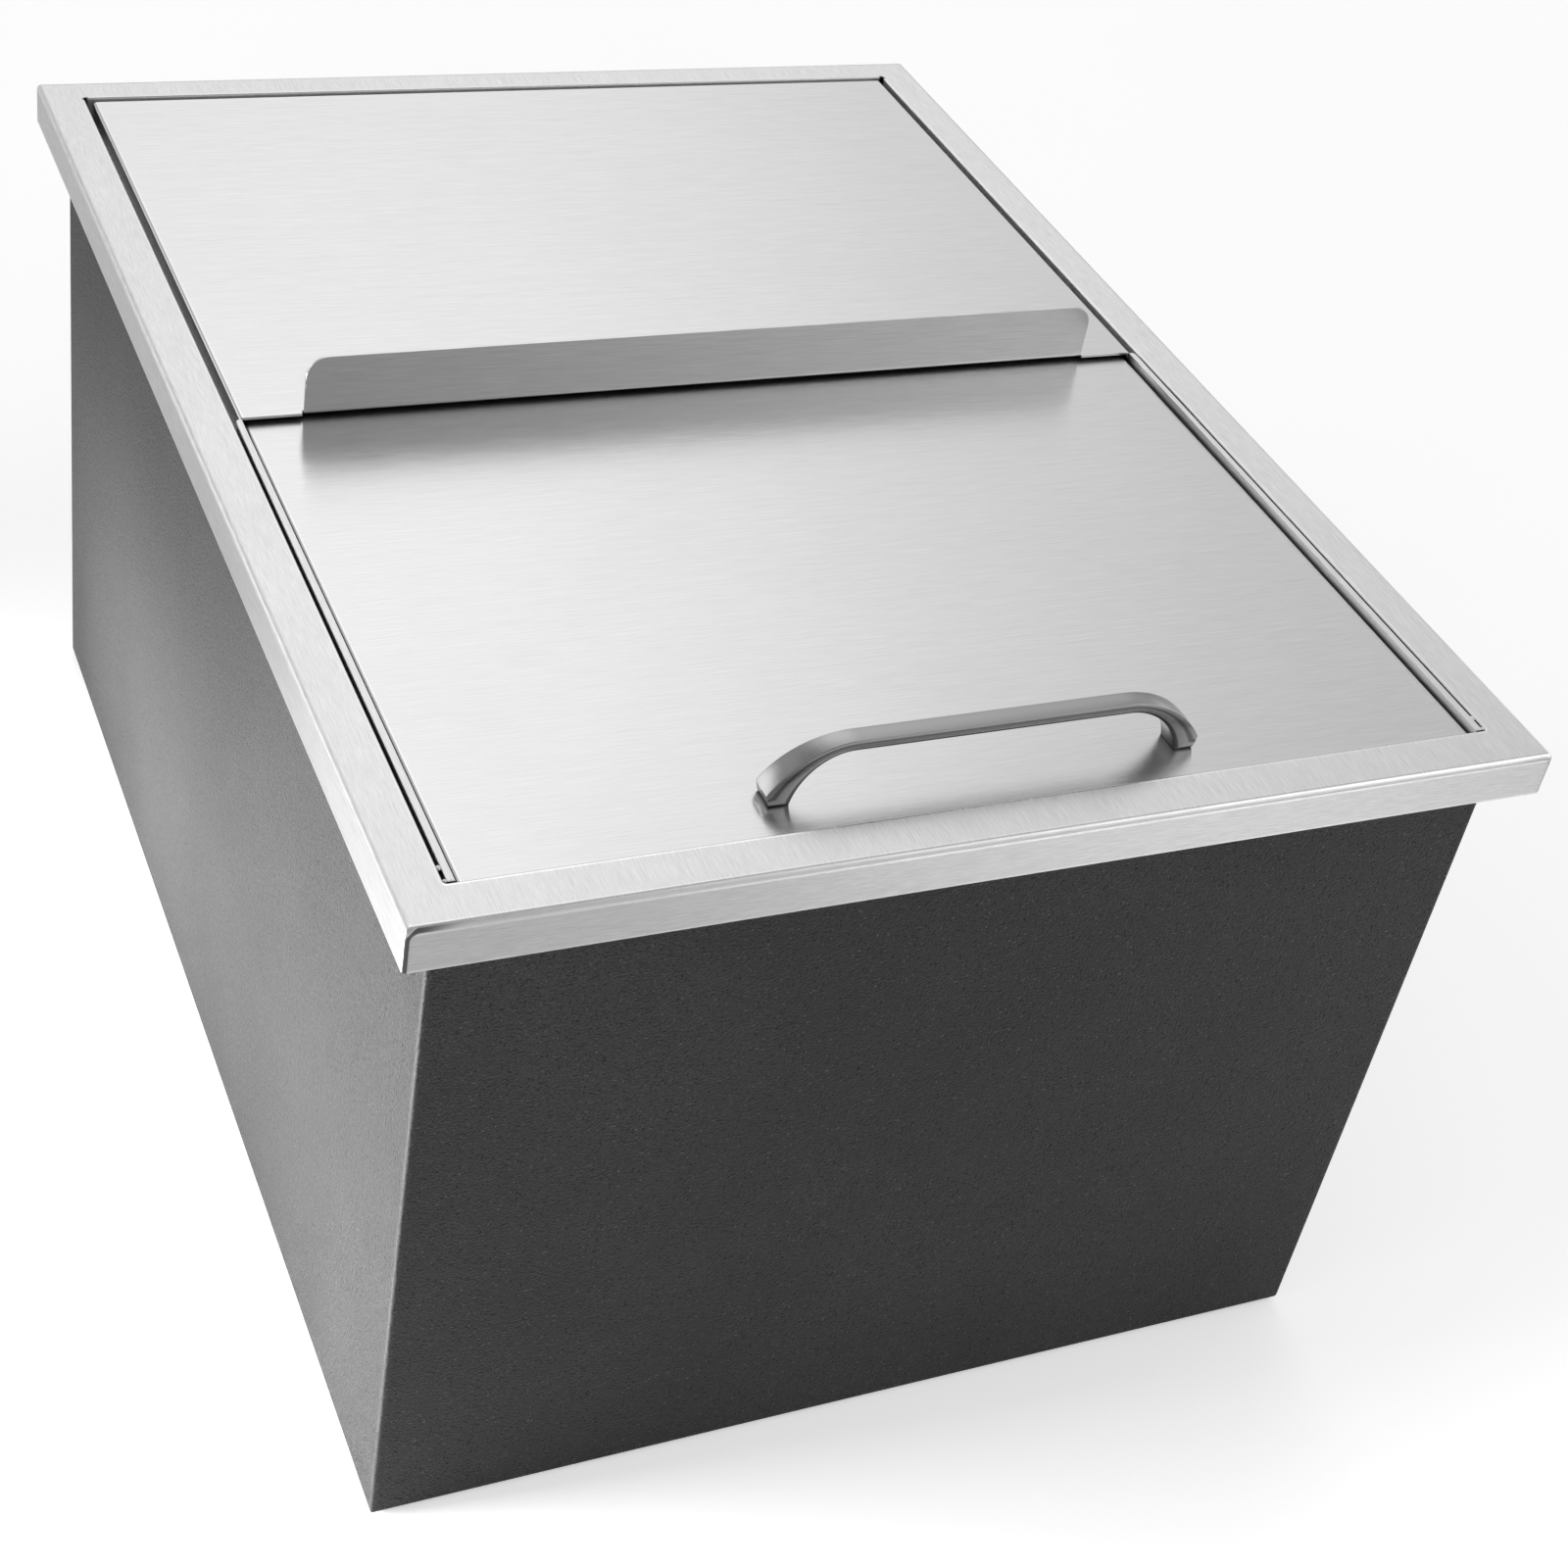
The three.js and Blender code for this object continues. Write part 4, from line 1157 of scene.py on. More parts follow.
class ICEBIN_OT_casing(IceBinOperator, bpy.types.Operator):
    """Make the casing: a deep pan with rounded corners and a hole for the drain"""

    bl_idname = "ice_bin.casing"
    bl_label = "Casing"

    def execute(self, context):
        settings = context.scene.ice_bin
        sheet, radius = settings.sheet, settings.tub.casing_fold
        low, high = node_box("outer_shell")
        track = outline_of("outer_shell", settings.tub.casing_edge)
        circle = circle_track(drain_centre(), settings.drain.grommet_groove / 2)
        bottom = rows_at(track, radius + sheet.flat_support, low[2])
        lower = rows_at(track, 0.0, low[2] + radius + sheet.flat_support)
        upper = rows_at(track, 0.0, high[2])
        opening = rows_at(circle, 0.0, low[2])
        rows = np.concatenate(
            [
                opening,
                rows_between(opening[0], bottom[0], 8),
                bottom,
                rows_at(track, *bend(radius, low[2] + radius, radius, -90, 0, sheet.bend_steps)),
                lower,
                rows_between(lower[0], upper[0], 10),
                upper,
            ]
        )
        grid = loop_grid(rows, sheet.arc_steps, sheet.side_steps)
        on_corner = np.arange(grid.shape[1]) % (sheet.arc_steps + sheet.side_steps) <= sheet.arc_steps
        on_wall = rows[:, 5:] > low[2] + radius
        mesh = make_mesh("casing", Surface(grid, mark=SMOOTH_POWDER * on_corner * on_wall))
        lay_grain(mesh)
        piece = place_piece(mesh, material("textured_casing"), "bin_body", ["outer_shell"])
        give_thickness(piece, sheet.casing_thickness, sheet.edge_rounding)
        return {"FINISHED"}


class ICEBIN_OT_tub(IceBinOperator, bpy.types.Operator):
    """Make the tub: ledge, walls, coved floor edge, and a floor that falls to the drain's dish"""

    bl_idname = "ice_bin.tub"
    bl_label = "Tub"

    def execute(self, context):
        settings = context.scene.ice_bin
        sheet, tub, drain = settings.sheet, settings.tub, settings.drain
        low, high = node_box("inner_tub")
        recess = recess_track(settings)
        x0, x1, y0, y1, _ = recess
        wall = (x0 + tub.ledge, x1 - tub.ledge, y0 + tub.ledge, y1 - tub.ledge, tub.corner_radius)
        dish = circle_track(drain_centre(), tub.dish_radius)
        circle = circle_track(drain_centre(), drain.pipe_diameter / 2 + drain.pipe_gap)
        cove, fold = tub.corner_radius, tub.ledge_fold
        dish_z = low[2] + sheet.thickness
        floor_z = dish_z + tub.dish_depth + tub.floor_fall
        deep = rows_at(wall, 0.0, high[2] - fold - sheet.flat_support)
        shallow = rows_at(wall, 0.0, floor_z + cove)
        floor_edge = rows_at(wall, cove + sheet.flat_support, floor_z)
        brink = rows_at(dish, 0.0, dish_z + tub.dish_depth)
        sunk = rows_at(dish, tub.dish_slope, dish_z)
        opening = rows_at(circle, 0.0, dish_z)
        rows = np.concatenate(
            [
                rows_at(recess, -sheet.thickness, high[2]),
                rows_at(wall, -fold - sheet.flat_support, high[2]),
                rows_at(wall, *bend(-fold, high[2] - fold, -fold, -90, 0, sheet.bend_steps)),
                deep,
                rows_between(deep[0], shallow[0], 8),
                rows_at(wall, *bend(cove, floor_z + cove, cove, 0, -90, 2 * sheet.bend_steps)),
                floor_edge,
                rows_between(floor_edge[0], brink[0], 8),
                brink,
                rows_between(brink[0], sunk[0], 3, ease=True),
                sunk,
                rows_between(sunk[0], opening[0], 2),
                opening,
            ]
        )
        mesh = make_mesh("tub", Surface(loop_grid(rows, 2 * sheet.arc_steps, sheet.side_steps)))
        lay_grain(mesh)
        piece = place_piece(mesh, material("brushed_tub"), "bin_body", ["inner_tub"])
        give_thickness(piece, sheet.thickness, sheet.edge_rounding)
        return {"FINISHED"}


class ICEBIN_OT_rails(IceBinOperator, bpy.types.Operator):
    """Make the two guide rails beside the front lid and the tack welds that hold them"""

    bl_idname = "ice_bin.rails"
    bl_label = "Guide rails"

    def execute(self, context):
        settings = context.scene.ice_bin
        recess = recess_track(settings)
        for name, side in (("left", -1), ("right", 1)):
            node = "guide_rail_" + name
            low, high = node_box(node)
            mesh = make_mesh("rail_" + name, Surface(self.strip(low, high, side)))
            lay_grain(mesh, top="y", end="z")
            piece = place_piece(mesh, material("brushed_rim"), "bin_body", [node])
            round_edges(piece, settings.sheet.edge_rounding / 2)
            outer, edge = (high[0], recess[1]) if side > 0 else (low[0], recess[0])
            gap, tip = (edge + outer) / 2, (low[0] + high[0]) / 2
            beads = self.beads(gap, tip, low[1], high[2], settings.rim.weld_radius)
            mesh = make_mesh("rail_welds_" + name, *beads)
            lay_grain(mesh)
            place_piece(mesh, material("brushed_rim"), "bin_body", [])
        return {"FINISHED"}

    def beads(self, gap, tip, front, top, weld):
        """Tack welds at a rail's front end: two in the gap beside it, and one over its tip. Places
        behind the front end and under the top, and radii, are shares of the weld's half length."""
        shapes = (
            (gap, 5.2, 0.45, (0.62, 0.9, 0.4)),
            (gap, 0.7, 0.45, (0.62, 0.6, 0.4)),
            (tip, 0.7, 0.25, (0.8, 0.66, 0.24)),
        )
        return [
            Surface(blob_grid((x, front + behind * weld, top - under * weld), weld * np.array(radii), 8))
            for x, behind, under, radii in shapes
        ]

    def strip(self, low, high, side):
        """Points [row, place]: an upright loop with its top edge rounded, whose outer rear corner is
        drawn in by a quarter circle of nearly the strip's own thickness."""
        wide = high[0] - low[0]
        top = wide * 0.12
        track = (low[0], high[0], low[1], high[1], LEAST_RADIUS)
        rows = np.concatenate(
            [
                rows_at(track, wide / 2, low[2]),
                rows_at(track, 0.0, [low[2], high[2] - 2 * top]),
                rows_at(track, *bend(top, high[2] - top, top, 0, 90, 4)),
                rows_at(track, wide / 2, high[2]),
            ]
        )
        grid = loop_grid(rows, 2, 24)
        reach = wide * 0.8
        near_end = np.clip((grid[:, :, 1] - (high[1] - reach)) / reach, 0.0, 1.0)
        drawn = reach * (1 - np.sqrt(1 - near_end**2))
        inward = np.abs(grid[:, :, 0] - (high[0] if side > 0 else low[0])) / (wide / 2)
        grid[:, :, 0] -= np.where(inward < 1, side * drawn * (1 - inward), 0.0)
        return grid


class ICEBIN_OT_front_lid(IceBinOperator, bpy.types.Operator):
    """Make the front lid: a shallow folded pan that lies upside down on the ledge"""

    bl_idname = "ice_bin.front_lid"
    bl_label = "Front lid"

    def execute(self, context):
        settings = context.scene.ice_bin
        sheet, radius = settings.sheet, settings.lid.fold_radius
        low, high = node_box("front_lid")
        track = outline_of("front_lid", settings.lid.corner_radius)
        brink = rows_at(track, radius + sheet.flat_support, high[2])
        middle = rows_at(track, (high[1] - low[1]) / 2, high[2])
        rows, at = stack_rows(
            {
                "wall": rows_at(track, 0.0, [low[2], high[2] - radius - sheet.flat_support]),
                "fold": rows_at(track, *bend(radius, high[2] - radius, radius, 0, 90, sheet.bend_steps)),
                "brink": brink,
                "flat": np.concatenate([rows_between(brink[0], middle[0], 16, ease=True), middle]),
            }
        )
        grid = loop_grid(rows, sheet.arc_steps, sheet.side_steps)
        sink(grid, track, sheet.bow, at["flat"])
        mark = np.zeros(grid.shape[:2])
        # The fold polished with a painted highlight, and the walls below it darkened as painted shade,
        # faintly at the front
        mark[at["fold"]] = POLISH_AND_HIGHLIGHT
        mark[: at["fold"].start + sheet.bend_steps // 2] = LID_WALL_SHADE
        front = slice(corner_start(sheet, FRONT_LEFT) + sheet.arc_steps, corner_start(sheet, FRONT_RIGHT))
        mark[at["wall"], front] = LID_FRONT_WALL_SHADE
        mesh = make_mesh("sliding_lid", Surface(grid, mark=mark))
        lay_grain(mesh, side="z")
        piece = place_piece(mesh, material("brushed_lid"), "front_lid", ["front_lid"])
        give_thickness(piece, sheet.thickness, sheet.edge_rounding)
        return {"FINISHED"}


class ICEBIN_OT_rear_lid(IceBinOperator, bpy.types.Operator):
    """Make the rear lid: folded down on three sides, with an upturned lip along the front"""

    bl_idname = "ice_bin.rear_lid"
    bl_label = "Rear lid"

    def execute(self, context):
        settings = context.scene.ice_bin
        sheet, lid = settings.sheet, settings.lid
        low, high = node_box("rear_lid")
        top = node_box("rim_frame")[1][2]
        radius, half = sheet.fold_radius, high[0]
        track = outline_of("rear_lid", lid.corner_radius)
        lip_end = half - lid.lip_width / 2
        lip_rows = lip_end + lid.lip_corner * (1 - np.cos(np.linspace(0.0, np.pi / 2, 9)))
        insets = np.concatenate(
            [
                [radius + sheet.flat_support, (radius + lip_end) / 2, lip_end - lid.lip_relief],
                lip_rows,
                np.linspace(lip_rows[-1], half, 16)[1:],
            ]
        )
        rows, at = stack_rows(
            {
                "wall": rows_at(track, 0.0, [low[2], top - radius - sheet.flat_support]),
                "fold": rows_at(track, *bend(radius, top - radius, radius, 0, 90, sheet.bend_steps)),
                "flat": rows_at(track, insets, top),
            }
        )
        corner = np.maximum(lid.corner_radius - (rows[:, 0] - low[0]), LEAST_RADIUS)
        rows[:, 4] = np.minimum(corner, rows[:, 1])
        on_lip = rows[:, 1] <= lid.lip_width / 2 + WELD
        rows[:, 2] = np.where(on_lip, low[1] + lid.lip_bend + sheet.thickness, low[1])
        path = horseshoe_grid(rows, sheet.arc_steps, sheet.side_steps)
        sink(path, track, sheet.bow * 0.8, at["flat"])
        right = self.lip(rows[:, 1], path[:, 0], on_lip, settings, high[2])
        left = self.lip(rows[:, 0], path[:, -1], on_lip, settings, high[2])
        grid = np.concatenate([right[:, ::-1], path, left], axis=1)
        slot, reach = int(np.argmax(on_lip)) - 1, right.shape[1]
        keep = np.ones(grid.shape[:2], bool)
        keep[slot, :reach] = False
        keep[slot, grid.shape[1] - reach - 1 :] = False
        mark = np.zeros(grid.shape[:2])
        # The fold polished with a painted highlight
        mark[at["fold"]] = POLISH_AND_HIGHLIGHT
        mesh = make_mesh("lift_off_lid", Surface(grid, False, False, keep, mark))
        lay_grain(mesh, side="z")
        piece = place_piece(mesh, material("brushed_lid"), "rear_lid", ["rear_lid"])
        give_thickness(piece, sheet.thickness, sheet.edge_rounding)
        return {"FINISHED"}

    def lip(self, x, start, on_lip, settings, summit):
        """Points [row, place] that carry each row on past its front end: a quarter circle upwards, then
        straight up to the lip's edge, which falls by a quarter circle towards the lip's ends. Rows
        beside the lip stay put."""
        lid = settings.lid
        turn = np.linspace(0.0, np.pi / 2, settings.sheet.bend_steps + 1)[1:]
        past = np.clip(np.abs(x) - (lid.lip_width / 2 - lid.lip_corner), 0.0, lid.lip_corner)
        edge = summit - lid.lip_corner + np.sqrt(np.maximum(lid.lip_corner**2 - past**2, 0.0))
        y_bend = start[:, None, 1] - lid.lip_bend * np.sin(turn)
        z_bend = start[:, None, 2] + lid.lip_bend * (1 - np.cos(turn))
        climb = np.linspace(0.0, 1.0, 7)[1:]
        base = z_bend[:, -1:]
        z_up = base + (edge[:, None] - base) * climb
        y_up = y_bend[:, -1:] + 0 * climb
        y = np.where(on_lip[:, None], np.concatenate([y_bend, y_up], axis=1), start[:, None, 1])
        z = np.where(on_lip[:, None], np.concatenate([z_bend, z_up], axis=1), start[:, None, 2])
        return np.stack([x[:, None] + 0 * y, y, z], axis=2)


class ICEBIN_OT_handle(IceBinOperator, bpy.types.Operator):
    """Make the bow handle: a lofted bar with crowned faces, round bends and wider feet"""

    bl_idname = "ice_bin.handle"
    bl_label = "Handle"

    def execute(self, context):
        handle = context.scene.ice_bin.handle
        low, high = node_box("bar_handle")
        grid = self.sections(self.bow(high[1] - low[1], high[2] - low[2], handle), handle)
        grid[:, :, 1] += (high[1] + low[1]) / 2
        grid[:, :, 2] = np.maximum(grid[:, :, 2] + low[2], low[2])
        first = grid[:1].mean(axis=1, keepdims=True) + 0 * grid[:1]
        last = grid[-1:].mean(axis=1, keepdims=True) + 0 * grid[-1:]
        grid = np.concatenate([first, grid, last])
        mesh = make_mesh("bow_handle", Surface(grid, mark=self.painted_shade_lines(grid, handle)))
        lay_grain(mesh)
        place_piece(mesh, material("handle_nickel"), "front_lid", ["bar_handle"])
        mesh.set_sharp_from_angle(angle=math.radians(40))
        for name in ("left", "right"):
            finish_node("handle_washer_" + name, "bright_zinc")
            finish_node("handle_screw_" + name, "bright_zinc")
        return {"FINISHED"}

    def bow(self, foot_depth, rise, handle):
        """Rows from the left heel to the right one: X and Z on the top line, X and Z on the underside,
        and the bar's depth. Each line runs straight, then along a bend, and then into the heel."""
        under_rise = rise - handle.thickness
        under_turn = math.acos(1 - under_rise / handle.inner_radius)
        eased = crowded(BEND_STEPS)
        flat = np.linspace(0.0, 1.0, STRAIGHT_STEPS + 1)[:-1]
        end = np.linspace(0.0, 1.0, HEEL_STEPS + 1)[1:]
        straight, under_straight = handle.straight / 2, handle.inner_straight / 2
        top_x, top_z = self.arc_line(straight, handle.arc_radius, handle.arc_angle * eased, rise)
        under_turned = under_turn * eased
        under_x, under_z = self.arc_line(under_straight, handle.inner_radius, under_turned, under_rise)
        depth = handle.bar_depth + (foot_depth - handle.bar_depth) * eased**2 * (3 - 2 * eased)
        heel_x = under_x[-1] + (top_x[-1] - handle.heel - under_x[-1]) * end
        top_x = np.concatenate([flat * straight, top_x, top_x[-1] - handle.heel * 0.3 * end])
        top_z = np.concatenate([rise + 0 * flat, top_z, top_z[-1] * (1 - 0.1 * end)])
        under_x = np.concatenate([flat * under_straight, under_x, heel_x])
        under_z = np.concatenate([under_rise + 0 * flat, under_z, 0 * end])
        depth = np.concatenate([handle.bar_depth + 0 * flat, depth, foot_depth + 0 * end])
        half = np.stack([top_x, top_z, under_x, under_z, depth], axis=1)
        return np.concatenate([half[:0:-1] * (-1, 1, -1, 1, 1), half])

    def arc_line(self, start, radius, turn, height):
        """X and Z along a bend: start plus radius times the sine, and height less radius times one less
        cosine."""
        return start + radius * np.sin(turn), height - radius * (1 - np.cos(turn))

    def painted_shade_lines(self, grid, handle):
        """A mark [row, place] below 0 that paints shade lines into the colour: a fine one under the upper
        edge of the front and rear faces, and a darker one along their lower edges. Both fade where the
        bar deepens into its feet, and the fine one is strongest on the bends."""
        places = np.arange(grid.shape[1])
        front = SECTION_SIDE + SECTION_ARC + np.array([1, 2])
        rear = 4 * SECTION_SIDE - np.array([2, 3])
        fine = np.isin(places, [*front, *rear])
        low = (places >= 2 * SECTION_SIDE - 1) & (places < 3 * SECTION_SIDE + SECTION_ARC + 1)
        depth = grid[:, :, 2].max(axis=1) - grid[:, :, 2].min(axis=1)
        fade = np.clip(handle.thickness / np.maximum(depth, WELD), 0.3, 1.0)[:, None]
        bent = np.clip(4 * fade * (1 - fade), 0.0, 1.0)
        return -np.maximum(FINE_SHADE_LINE * fine + LOWER_SHADE_LINE * low * fade, BENT_SHADE_LINE * fine * bent)

    def sections(self, rows, handle):
        """Points [row, place] of the bar's sections. Each is a rounded rectangle between a point on the
        top line and one on the underside, with arcs of the edge radius at its corners and faces crowned
        by a half sine."""
        top_x, top_z, under_x, under_z, depth = rows.T[:, :, None]
        span_x, span_z = top_x - under_x, top_z - under_z
        height = np.hypot(span_x, span_z)
        radius = np.minimum(handle.edge_radius, height / 4)
        corner = np.repeat(np.arange(4), SECTION_SIDE)
        between = np.arange(1, SECTION_FLAT + 1) / (SECTION_FLAT + 1)
        turn = np.tile(np.concatenate([np.linspace(0.0, 1.0, SECTION_ARC), np.ones(SECTION_FLAT)]), 4)
        along = np.tile(np.concatenate([np.zeros(SECTION_ARC), between]), 4)
        facing = (corner + turn) * np.pi / 2
        half_y, half_z = depth / 2 - radius, height / 2 - radius
        sign_y = np.array([1, -1, -1, 1])
        sign_z = np.array([1, 1, -1, -1])
        after = (corner + 1) % 4
        y = half_y * (sign_y[corner] * (1 - along) + sign_y[after] * along) + radius * np.cos(facing)
        z = half_z * (sign_z[corner] * (1 - along) + sign_z[after] * along) + radius * np.sin(facing)
        crown = handle.crown * np.sin(np.pi * along)
        y = y * (1 - handle.crown / half_y) + crown * np.cos(facing)
        z = z * (1 - handle.crown / (height / 2)) + crown * np.sin(facing)
        x = (top_x + under_x) / 2 + span_x / height * z
        up = (top_z + under_z) / 2 + span_z / height * z
        return np.stack([x + 0 * y, y, up + 0 * y], axis=2)


class ICEBIN_OT_drain(IceBinOperator, bpy.types.Operator):
    """Make the drain: flanged spigot with its pipe thread, crossbar and grommet, and finish its packed
    pieces"""

    bl_idname = "ice_bin.drain"
    bl_label = "Drain"

    def execute(self, context):
        settings = context.scene.ice_bin
        centre = drain_centre()
        self.make_spigot(settings, centre)
        self.make_grommet(settings, centre)
        for node, name in {
            "drain_strainer": "bright_zinc",
            "strainer_screw": "bright_zinc",
            "drain_gasket": "black_rubber",
            "drain_washer": "brown_fibre",
            "drain_locknut": "plain_brass",
            "insulation": "rigid_foam",
        }.items():
            finish_node(node, name)
        return {"FINISHED"}

    def make_spigot(self, settings, centre):
        """A turned pipe with its thread, its flange and the seat of the strainer, and the bar across
        its bore."""
        drain, sheet = settings.drain, settings.sheet
        low, high = node_box("drain_spigot")
        pipe, bore = drain.pipe_diameter / 2, drain.bore / 2
        flange, seat = (high[0] - low[0]) / 2, drain.strainer_diameter / 2
        flange_under = high[2] - drain.flange_thickness
        seat_z = node_box("drain_strainer")[0][2]
        thread = np.linspace(low[2] + drain.pipe_chamfer, node_box("drain_washer")[1][2], THREAD_ROWS)
        turn = np.linspace(0.0, np.pi / 2, 5)
        edge = drain.flange_round * np.stack([np.cos(turn) - 1, np.sin(turn) - 1], axis=1)
        section = np.concatenate(
            [
                [(bore, low[2]), (pipe - drain.pipe_chamfer, low[2])],
                np.stack([pipe + 0 * thread, thread], axis=1),
                [(pipe, flange_under), (flange, flange_under)],
                edge + (flange, high[2]),
                [(seat, high[2]), (seat, seat_z), (bore, seat_z)],
            ]
        )
        grid = turned_grid(section, centre, TURNED_SIDES)
        self.cut_thread(grid, centre, drain, slice(2, 2 + len(thread)), thread)
        half = drain.crossbar / 2
        reach = bore + (pipe - bore) / 3
        crossbar = block_grid(
            (centre[0] - reach, centre[1] - half, seat_z - drain.crossbar),
            (centre[0] + reach, centre[1] + half, seat_z - sheet.edge_rounding),
            sheet.edge_rounding * 2,
        )
        mesh = make_mesh("spigot", Surface(grid, wrap_rows=True), Surface(crossbar))
        mesh.set_sharp_from_angle(angle=math.radians(32))
        lay_turned_grain(mesh, centre)
        place_piece(mesh, material("turned_steel"), "bin_body", ["drain_spigot"])

    def cut_thread(self, grid, centre, drain, rows, heights):
        """Draws the pipe's rows in to a helical thread: the radius falls by the depth times a triangle
        wave of the height over the pitch less the angle over a full turn, fading out over a pitch at
        each end."""
        reach = grid[rows, :, :2] - centre
        radius = np.hypot(reach[:, :, 0], reach[:, :, 1])
        turn = np.arctan2(reach[:, :, 1], reach[:, :, 0])
        phase = heights[:, None] / drain.thread_pitch - turn / (2 * np.pi)
        wave = np.abs(2 * (phase - np.floor(phase)) - 1)
        ends = np.minimum(heights - heights[0], heights[-1] - heights) / drain.thread_pitch
        fade = np.clip(ends, 0.0, 1.0)[:, None]
        drawn = drain.thread_depth * np.clip(1.4 * wave - 0.2, 0.0, 1.0) * fade
        grid[rows, :, :2] = centre + reach * ((radius - drawn) / radius)[:, :, None]

    def make_grommet(self, settings, centre):
        """A turned ring with two rounded lips and the groove that grips the casing."""
        drain, sheet = settings.drain, settings.sheet
        low, high = node_box("drain_grommet")
        inner = drain.pipe_diameter / 2 + drain.pipe_gap
        outer, groove = drain.grommet_diameter / 2, drain.grommet_groove / 2 - sheet.edge_rounding
        under = low[2] + drain.grommet_lip
        over = under + sheet.casing_thickness
        radius = drain.grommet_lip / 2
        turn = np.linspace(-np.pi / 2, np.pi / 2, 9)
        round_lip = radius * np.stack([np.cos(turn), np.sin(turn)], axis=1)
        lower = round_lip + (outer - radius, low[2] + radius)
        upper = lower + (0.0, over - low[2])
        foot, waist, crest = [(inner, low[2])], [(groove, under), (groove, over)], [(inner, high[2])]
        section = np.concatenate([foot, lower, waist, upper, crest])
        mesh = make_mesh("grommet", Surface(turned_grid(section, centre, TURNED_SIDES), wrap_rows=True))
        mesh.set_sharp_from_angle(angle=math.radians(40))
        lay_turned_grain(mesh, centre)
        place_piece(mesh, material("black_rubber"), "bin_body", ["drain_grommet"])


# Stage


class Lobe(NamedTuple):
    """A soft light in the surroundings, in degrees: azimuth from +Y towards +X, elevation, and how far
    from there its light is full and none"""

    azimuth: float
    elevation: float
    inner: float
    outer: float


class Softbox(NamedTuple):
    """A rectangular light: its place, the point that it faces, its width and height, and its beam in
    degrees"""

    place: tuple
    target: tuple
    size: tuple
    beam: float = 180.0


# The casing's left face, which two lights look at
CASING_LEFT = -0.2148

# The studio's lights, each named as the setting that holds its light or power
LOBES = {
    "rear_wall": Lobe(16, 33, 4, 35),
    "rear_top": Lobe(14, 48, 4, 30),
    "rear_left": Lobe(-34, 26, 5, 28),
    "front_right": Lobe(115, 38, 10, 42),
    "right_panel": Lobe(100, 46, 5, 30),
    "front_low": Lobe(152, 8, 6, 30),
    "rear_low": Lobe(22, 6, 5, 24),
    "rear_right": Lobe(60, 20, 8, 30),
    "right_low": Lobe(70, 4, 6, 24),
    "left_low": Lobe(-46, 4, 6, 22),
    "ceiling": Lobe(140, 64, 14, 40),
}
SOFTBOXES = {
    "left_softbox": Softbox((-2.3, -0.1, 0.02), (0.0, -0.05, -0.15), (1.8, 0.64)),
    "side_light": Softbox((-0.6, 0.16, -0.28), (CASING_LEFT, 0.14, -0.28), (0.26, 0.2), 60.0),
    "low_light": Softbox((-0.9, -0.12, -0.2), (CASING_LEFT, -0.24, -0.22), (0.26, 0.3), 60.0),
}
SPOT_PLACE = (0.42, -0.78, 1.1)
SPOT_BEAM = 34.0
SPOT_RADIUS = 0.12


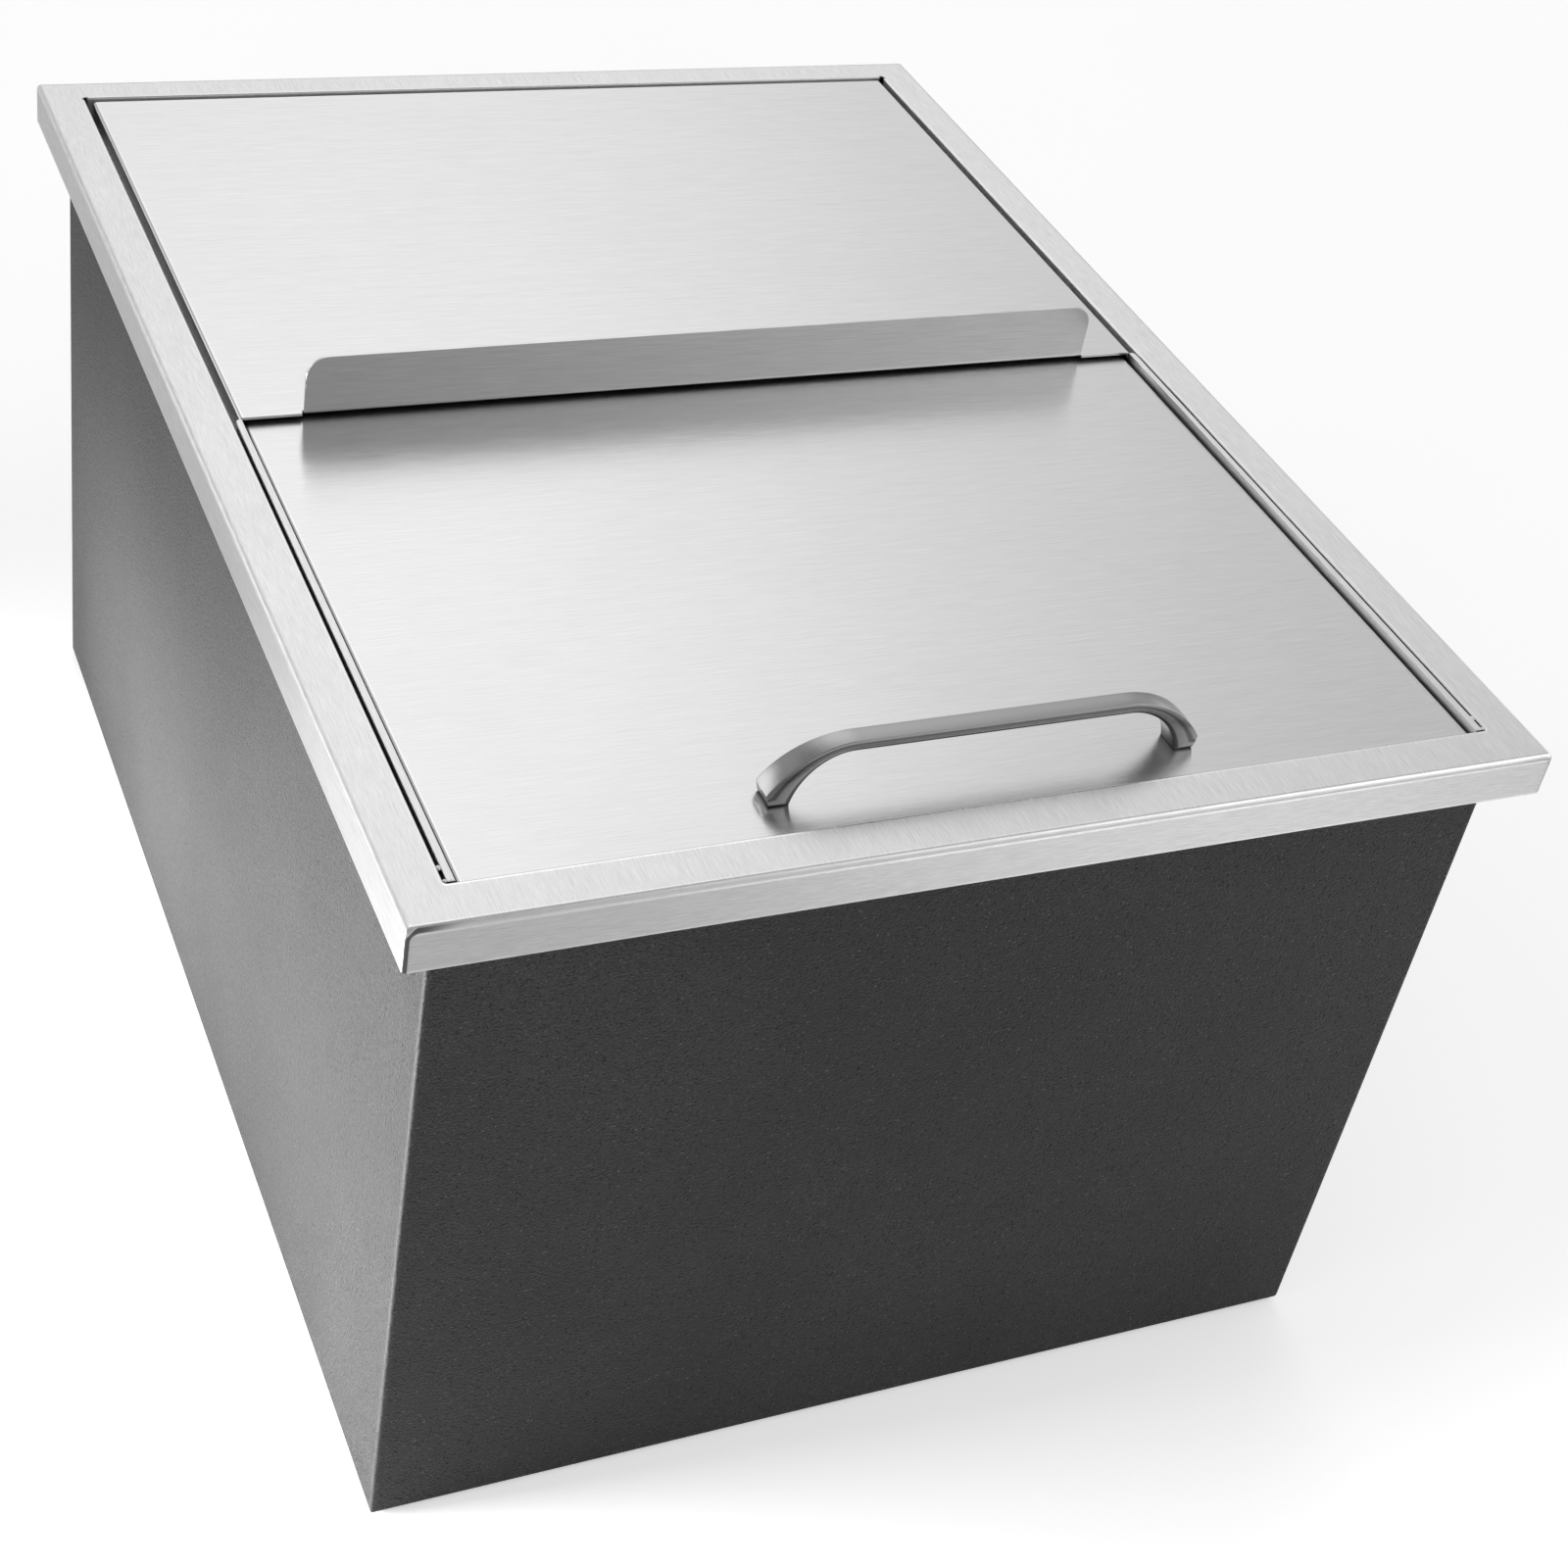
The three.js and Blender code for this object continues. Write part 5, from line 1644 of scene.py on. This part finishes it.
class ICEBIN_OT_stage(IceBinOperator, bpy.types.Operator):
    """Make the pale floor, the soft lights and the camera"""

    bl_idname = "ice_bin.stage"
    bl_label = "Stage"

    def execute(self, context):
        studio = context.scene.ice_bin.studio
        self.make_floor(studio)
        self.light_world(context.scene, studio)
        for name, box in SOFTBOXES.items():
            self.add_softbox(name, box, getattr(studio, name))
        self.add_floor_spot(studio.floor_spot)
        self.add_camera(context.scene, studio)
        context.scene.view_settings.view_transform = "Standard"
        return {"FINISHED"}

    def make_floor(self, studio):
        """A round floor just under the casing: rings of growing radius."""
        level = node_box("outer_shell")[0][2] - FLOOR_DROP
        radii = studio.floor_reach * np.linspace(0.0, 1.0, 9) ** 2
        section = np.stack([radii[::-1], level + 0 * radii], axis=1)
        mesh = make_mesh("floor", Surface(turned_grid(section, (0.0, 0.0), TURNED_SIDES)))
        mesh.materials.append(self.floor_material(studio))
        floor = bpy.data.objects.new("floor", mesh)
        bpy.context.scene.collection.objects.link(floor)

    def floor_material(self, studio):
        """A pale floor that glows where the camera sees it. It shows from above only, and lets rays of
        up to a few millimetres through, so that the underside can be looked at and is lit."""
        made, tree, shader, places = new_material("pale_floor")
        shown = shade(tree, noise(tree, places, 2.0), studio.floor_colour, 0.99, 1.01)
        wire(tree, shown, shader["Base Color"])
        shader["Roughness"].default_value = 0.85
        shader["Specular IOR Level"].default_value = 0.2
        shader["Emission Color"].default_value = (1.0, 1.0, 1.0, 1.0)
        path = tree.nodes.new("ShaderNodeLightPath").outputs
        seen = path["Is Camera Ray"]
        behind = tree.nodes.new("ShaderNodeNewGeometry").outputs["Backfacing"]
        near = maths(tree, "LESS_THAN", path["Ray Length"], 10 * FLOOR_DROP)
        passed = times(tree, near, minus(tree, 1.0, seen))
        wire(tree, minus(tree, 1.0, maths(tree, "MAXIMUM", behind, passed)), shader["Alpha"])
        lift = plus(tree, studio.floor_glow, times(tree, seen, studio.floor_lift))
        wire(tree, lift, shader["Emission Strength"])
        return made

    def light_world(self, scene, studio):
        """White surroundings with soft bright lobes, as the soft walls and panels of a studio make.
        Each lobe eases from nothing at its outer angle to its full light at its inner angle."""
        world = bpy.data.worlds.new("studio")
        world.use_nodes = True
        scene.world = world
        tree = world.node_tree
        places = tree.nodes.new("ShaderNodeTexCoord").outputs["Generated"]
        level = studio.surround
        for name, lobe in LOBES.items():
            level = plus(tree, level, times(tree, self.lobe(tree, places, lobe), getattr(studio, name)))
        backdrop = tree.nodes["Background"].inputs
        wire(tree, level, backdrop["Strength"])
        backdrop["Color"].default_value = (1.0, 1.0, 1.0, 1.0)

    def lobe(self, tree, direction, lobe):
        """From 0 at the lobe's outer angle to 1 at its inner one: the angle is the arc cosine of the
        dot product of the direction and the lobe's own."""
        turn, rise = math.radians(lobe.azimuth), math.radians(lobe.elevation)
        centre = (math.sin(turn) * math.cos(rise), math.cos(turn) * math.cos(rise), math.sin(rise))
        away = maths(tree, "ARCCOSINE", vector_maths(tree, "DOT_PRODUCT", direction, centre)["Value"])
        return ramp(tree, away, math.radians(lobe.inner), math.radians(lobe.outer), 1.0, 0.0)

    def add_softbox(self, name, box, power):
        """A rectangular area light turned to its target."""
        lamp = bpy.data.lights.new(name, "AREA")
        lamp.shape = "RECTANGLE"
        lamp.size, lamp.size_y = box.size
        lamp.energy = power
        lamp.spread = math.radians(box.beam)
        made = bpy.data.objects.new(name, lamp)
        made.location = box.place
        view = Vector(box.target) - Vector(box.place)
        made.rotation_euler = view.to_track_quat("-Z", "Y").to_euler()
        made.visible_camera = False
        bpy.context.scene.collection.objects.link(made)

    def add_floor_spot(self, power):
        """A soft spot that points straight down at the floor."""
        lamp = bpy.data.lights.new("floor_spot", "SPOT")
        lamp.energy = power
        lamp.spot_size = math.radians(SPOT_BEAM)
        lamp.spot_blend = 1.0
        lamp.shadow_soft_size = SPOT_RADIUS
        made = bpy.data.objects.new("floor_spot", lamp)
        made.location = SPOT_PLACE
        bpy.context.scene.collection.objects.link(made)

    def add_camera(self, scene, studio):
        """The camera at the photograph's place: turned to its aim, then rolled about its view."""
        data = bpy.data.cameras.new("camera")
        data.lens = studio.lens
        data.sensor_width = 36.0
        data.clip_start, data.clip_end = 0.01, 50.0
        made = bpy.data.objects.new("camera", data)
        view = Vector(studio.aim) - Vector(studio.eye)
        turn = view.to_track_quat("-Z", "Y").to_matrix() @ Matrix.Rotation(studio.roll, 3, "Z")
        made.matrix_world = Matrix.Translation(studio.eye) @ turn.to_4x4()
        scene.collection.objects.link(made)
        scene.camera = made


PIECES = (
    ICEBIN_OT_stage,
    ICEBIN_OT_rim,
    ICEBIN_OT_casing,
    ICEBIN_OT_tub,
    ICEBIN_OT_rails,
    ICEBIN_OT_front_lid,
    ICEBIN_OT_rear_lid,
    ICEBIN_OT_handle,
    ICEBIN_OT_drain,
)


class ICEBIN_PT_panel(bpy.types.Panel):
    """Lists the pieces and their settings"""

    bl_idname = "ICEBIN_PT_panel"
    bl_label = "Ice bin"
    bl_space_type = "VIEW_3D"
    bl_region_type = "UI"
    bl_category = "Ice bin"

    def draw(self, context):
        for piece in PIECES:
            self.layout.operator(piece.bl_idname)
        for name, group in SETTINGS.items():
            box = self.layout.box()
            box.label(text=group.__doc__)
            for label in group.__annotations__:
                box.prop(getattr(context.scene.ice_bin, name), label)


CLASSES = (*SETTINGS.values(), IceBinSettings, *PIECES, ICEBIN_PT_panel)


def register():
    """Registers the classes and hangs the settings on the scene."""
    for item in CLASSES:
        bpy.utils.register_class(item)
    bpy.types.Scene.ice_bin = PointerProperty(type=IceBinSettings)


def unregister():
    """Undoes register."""
    del bpy.types.Scene.ice_bin
    for item in reversed(CLASSES):
        bpy.utils.unregister_class(item)


def main():
    """Makes every piece."""
    register()
    for piece in PIECES:
        group, name = piece.bl_idname.split(".")
        getattr(getattr(bpy.ops, group), name)()


if __name__ == "__main__":
    main()
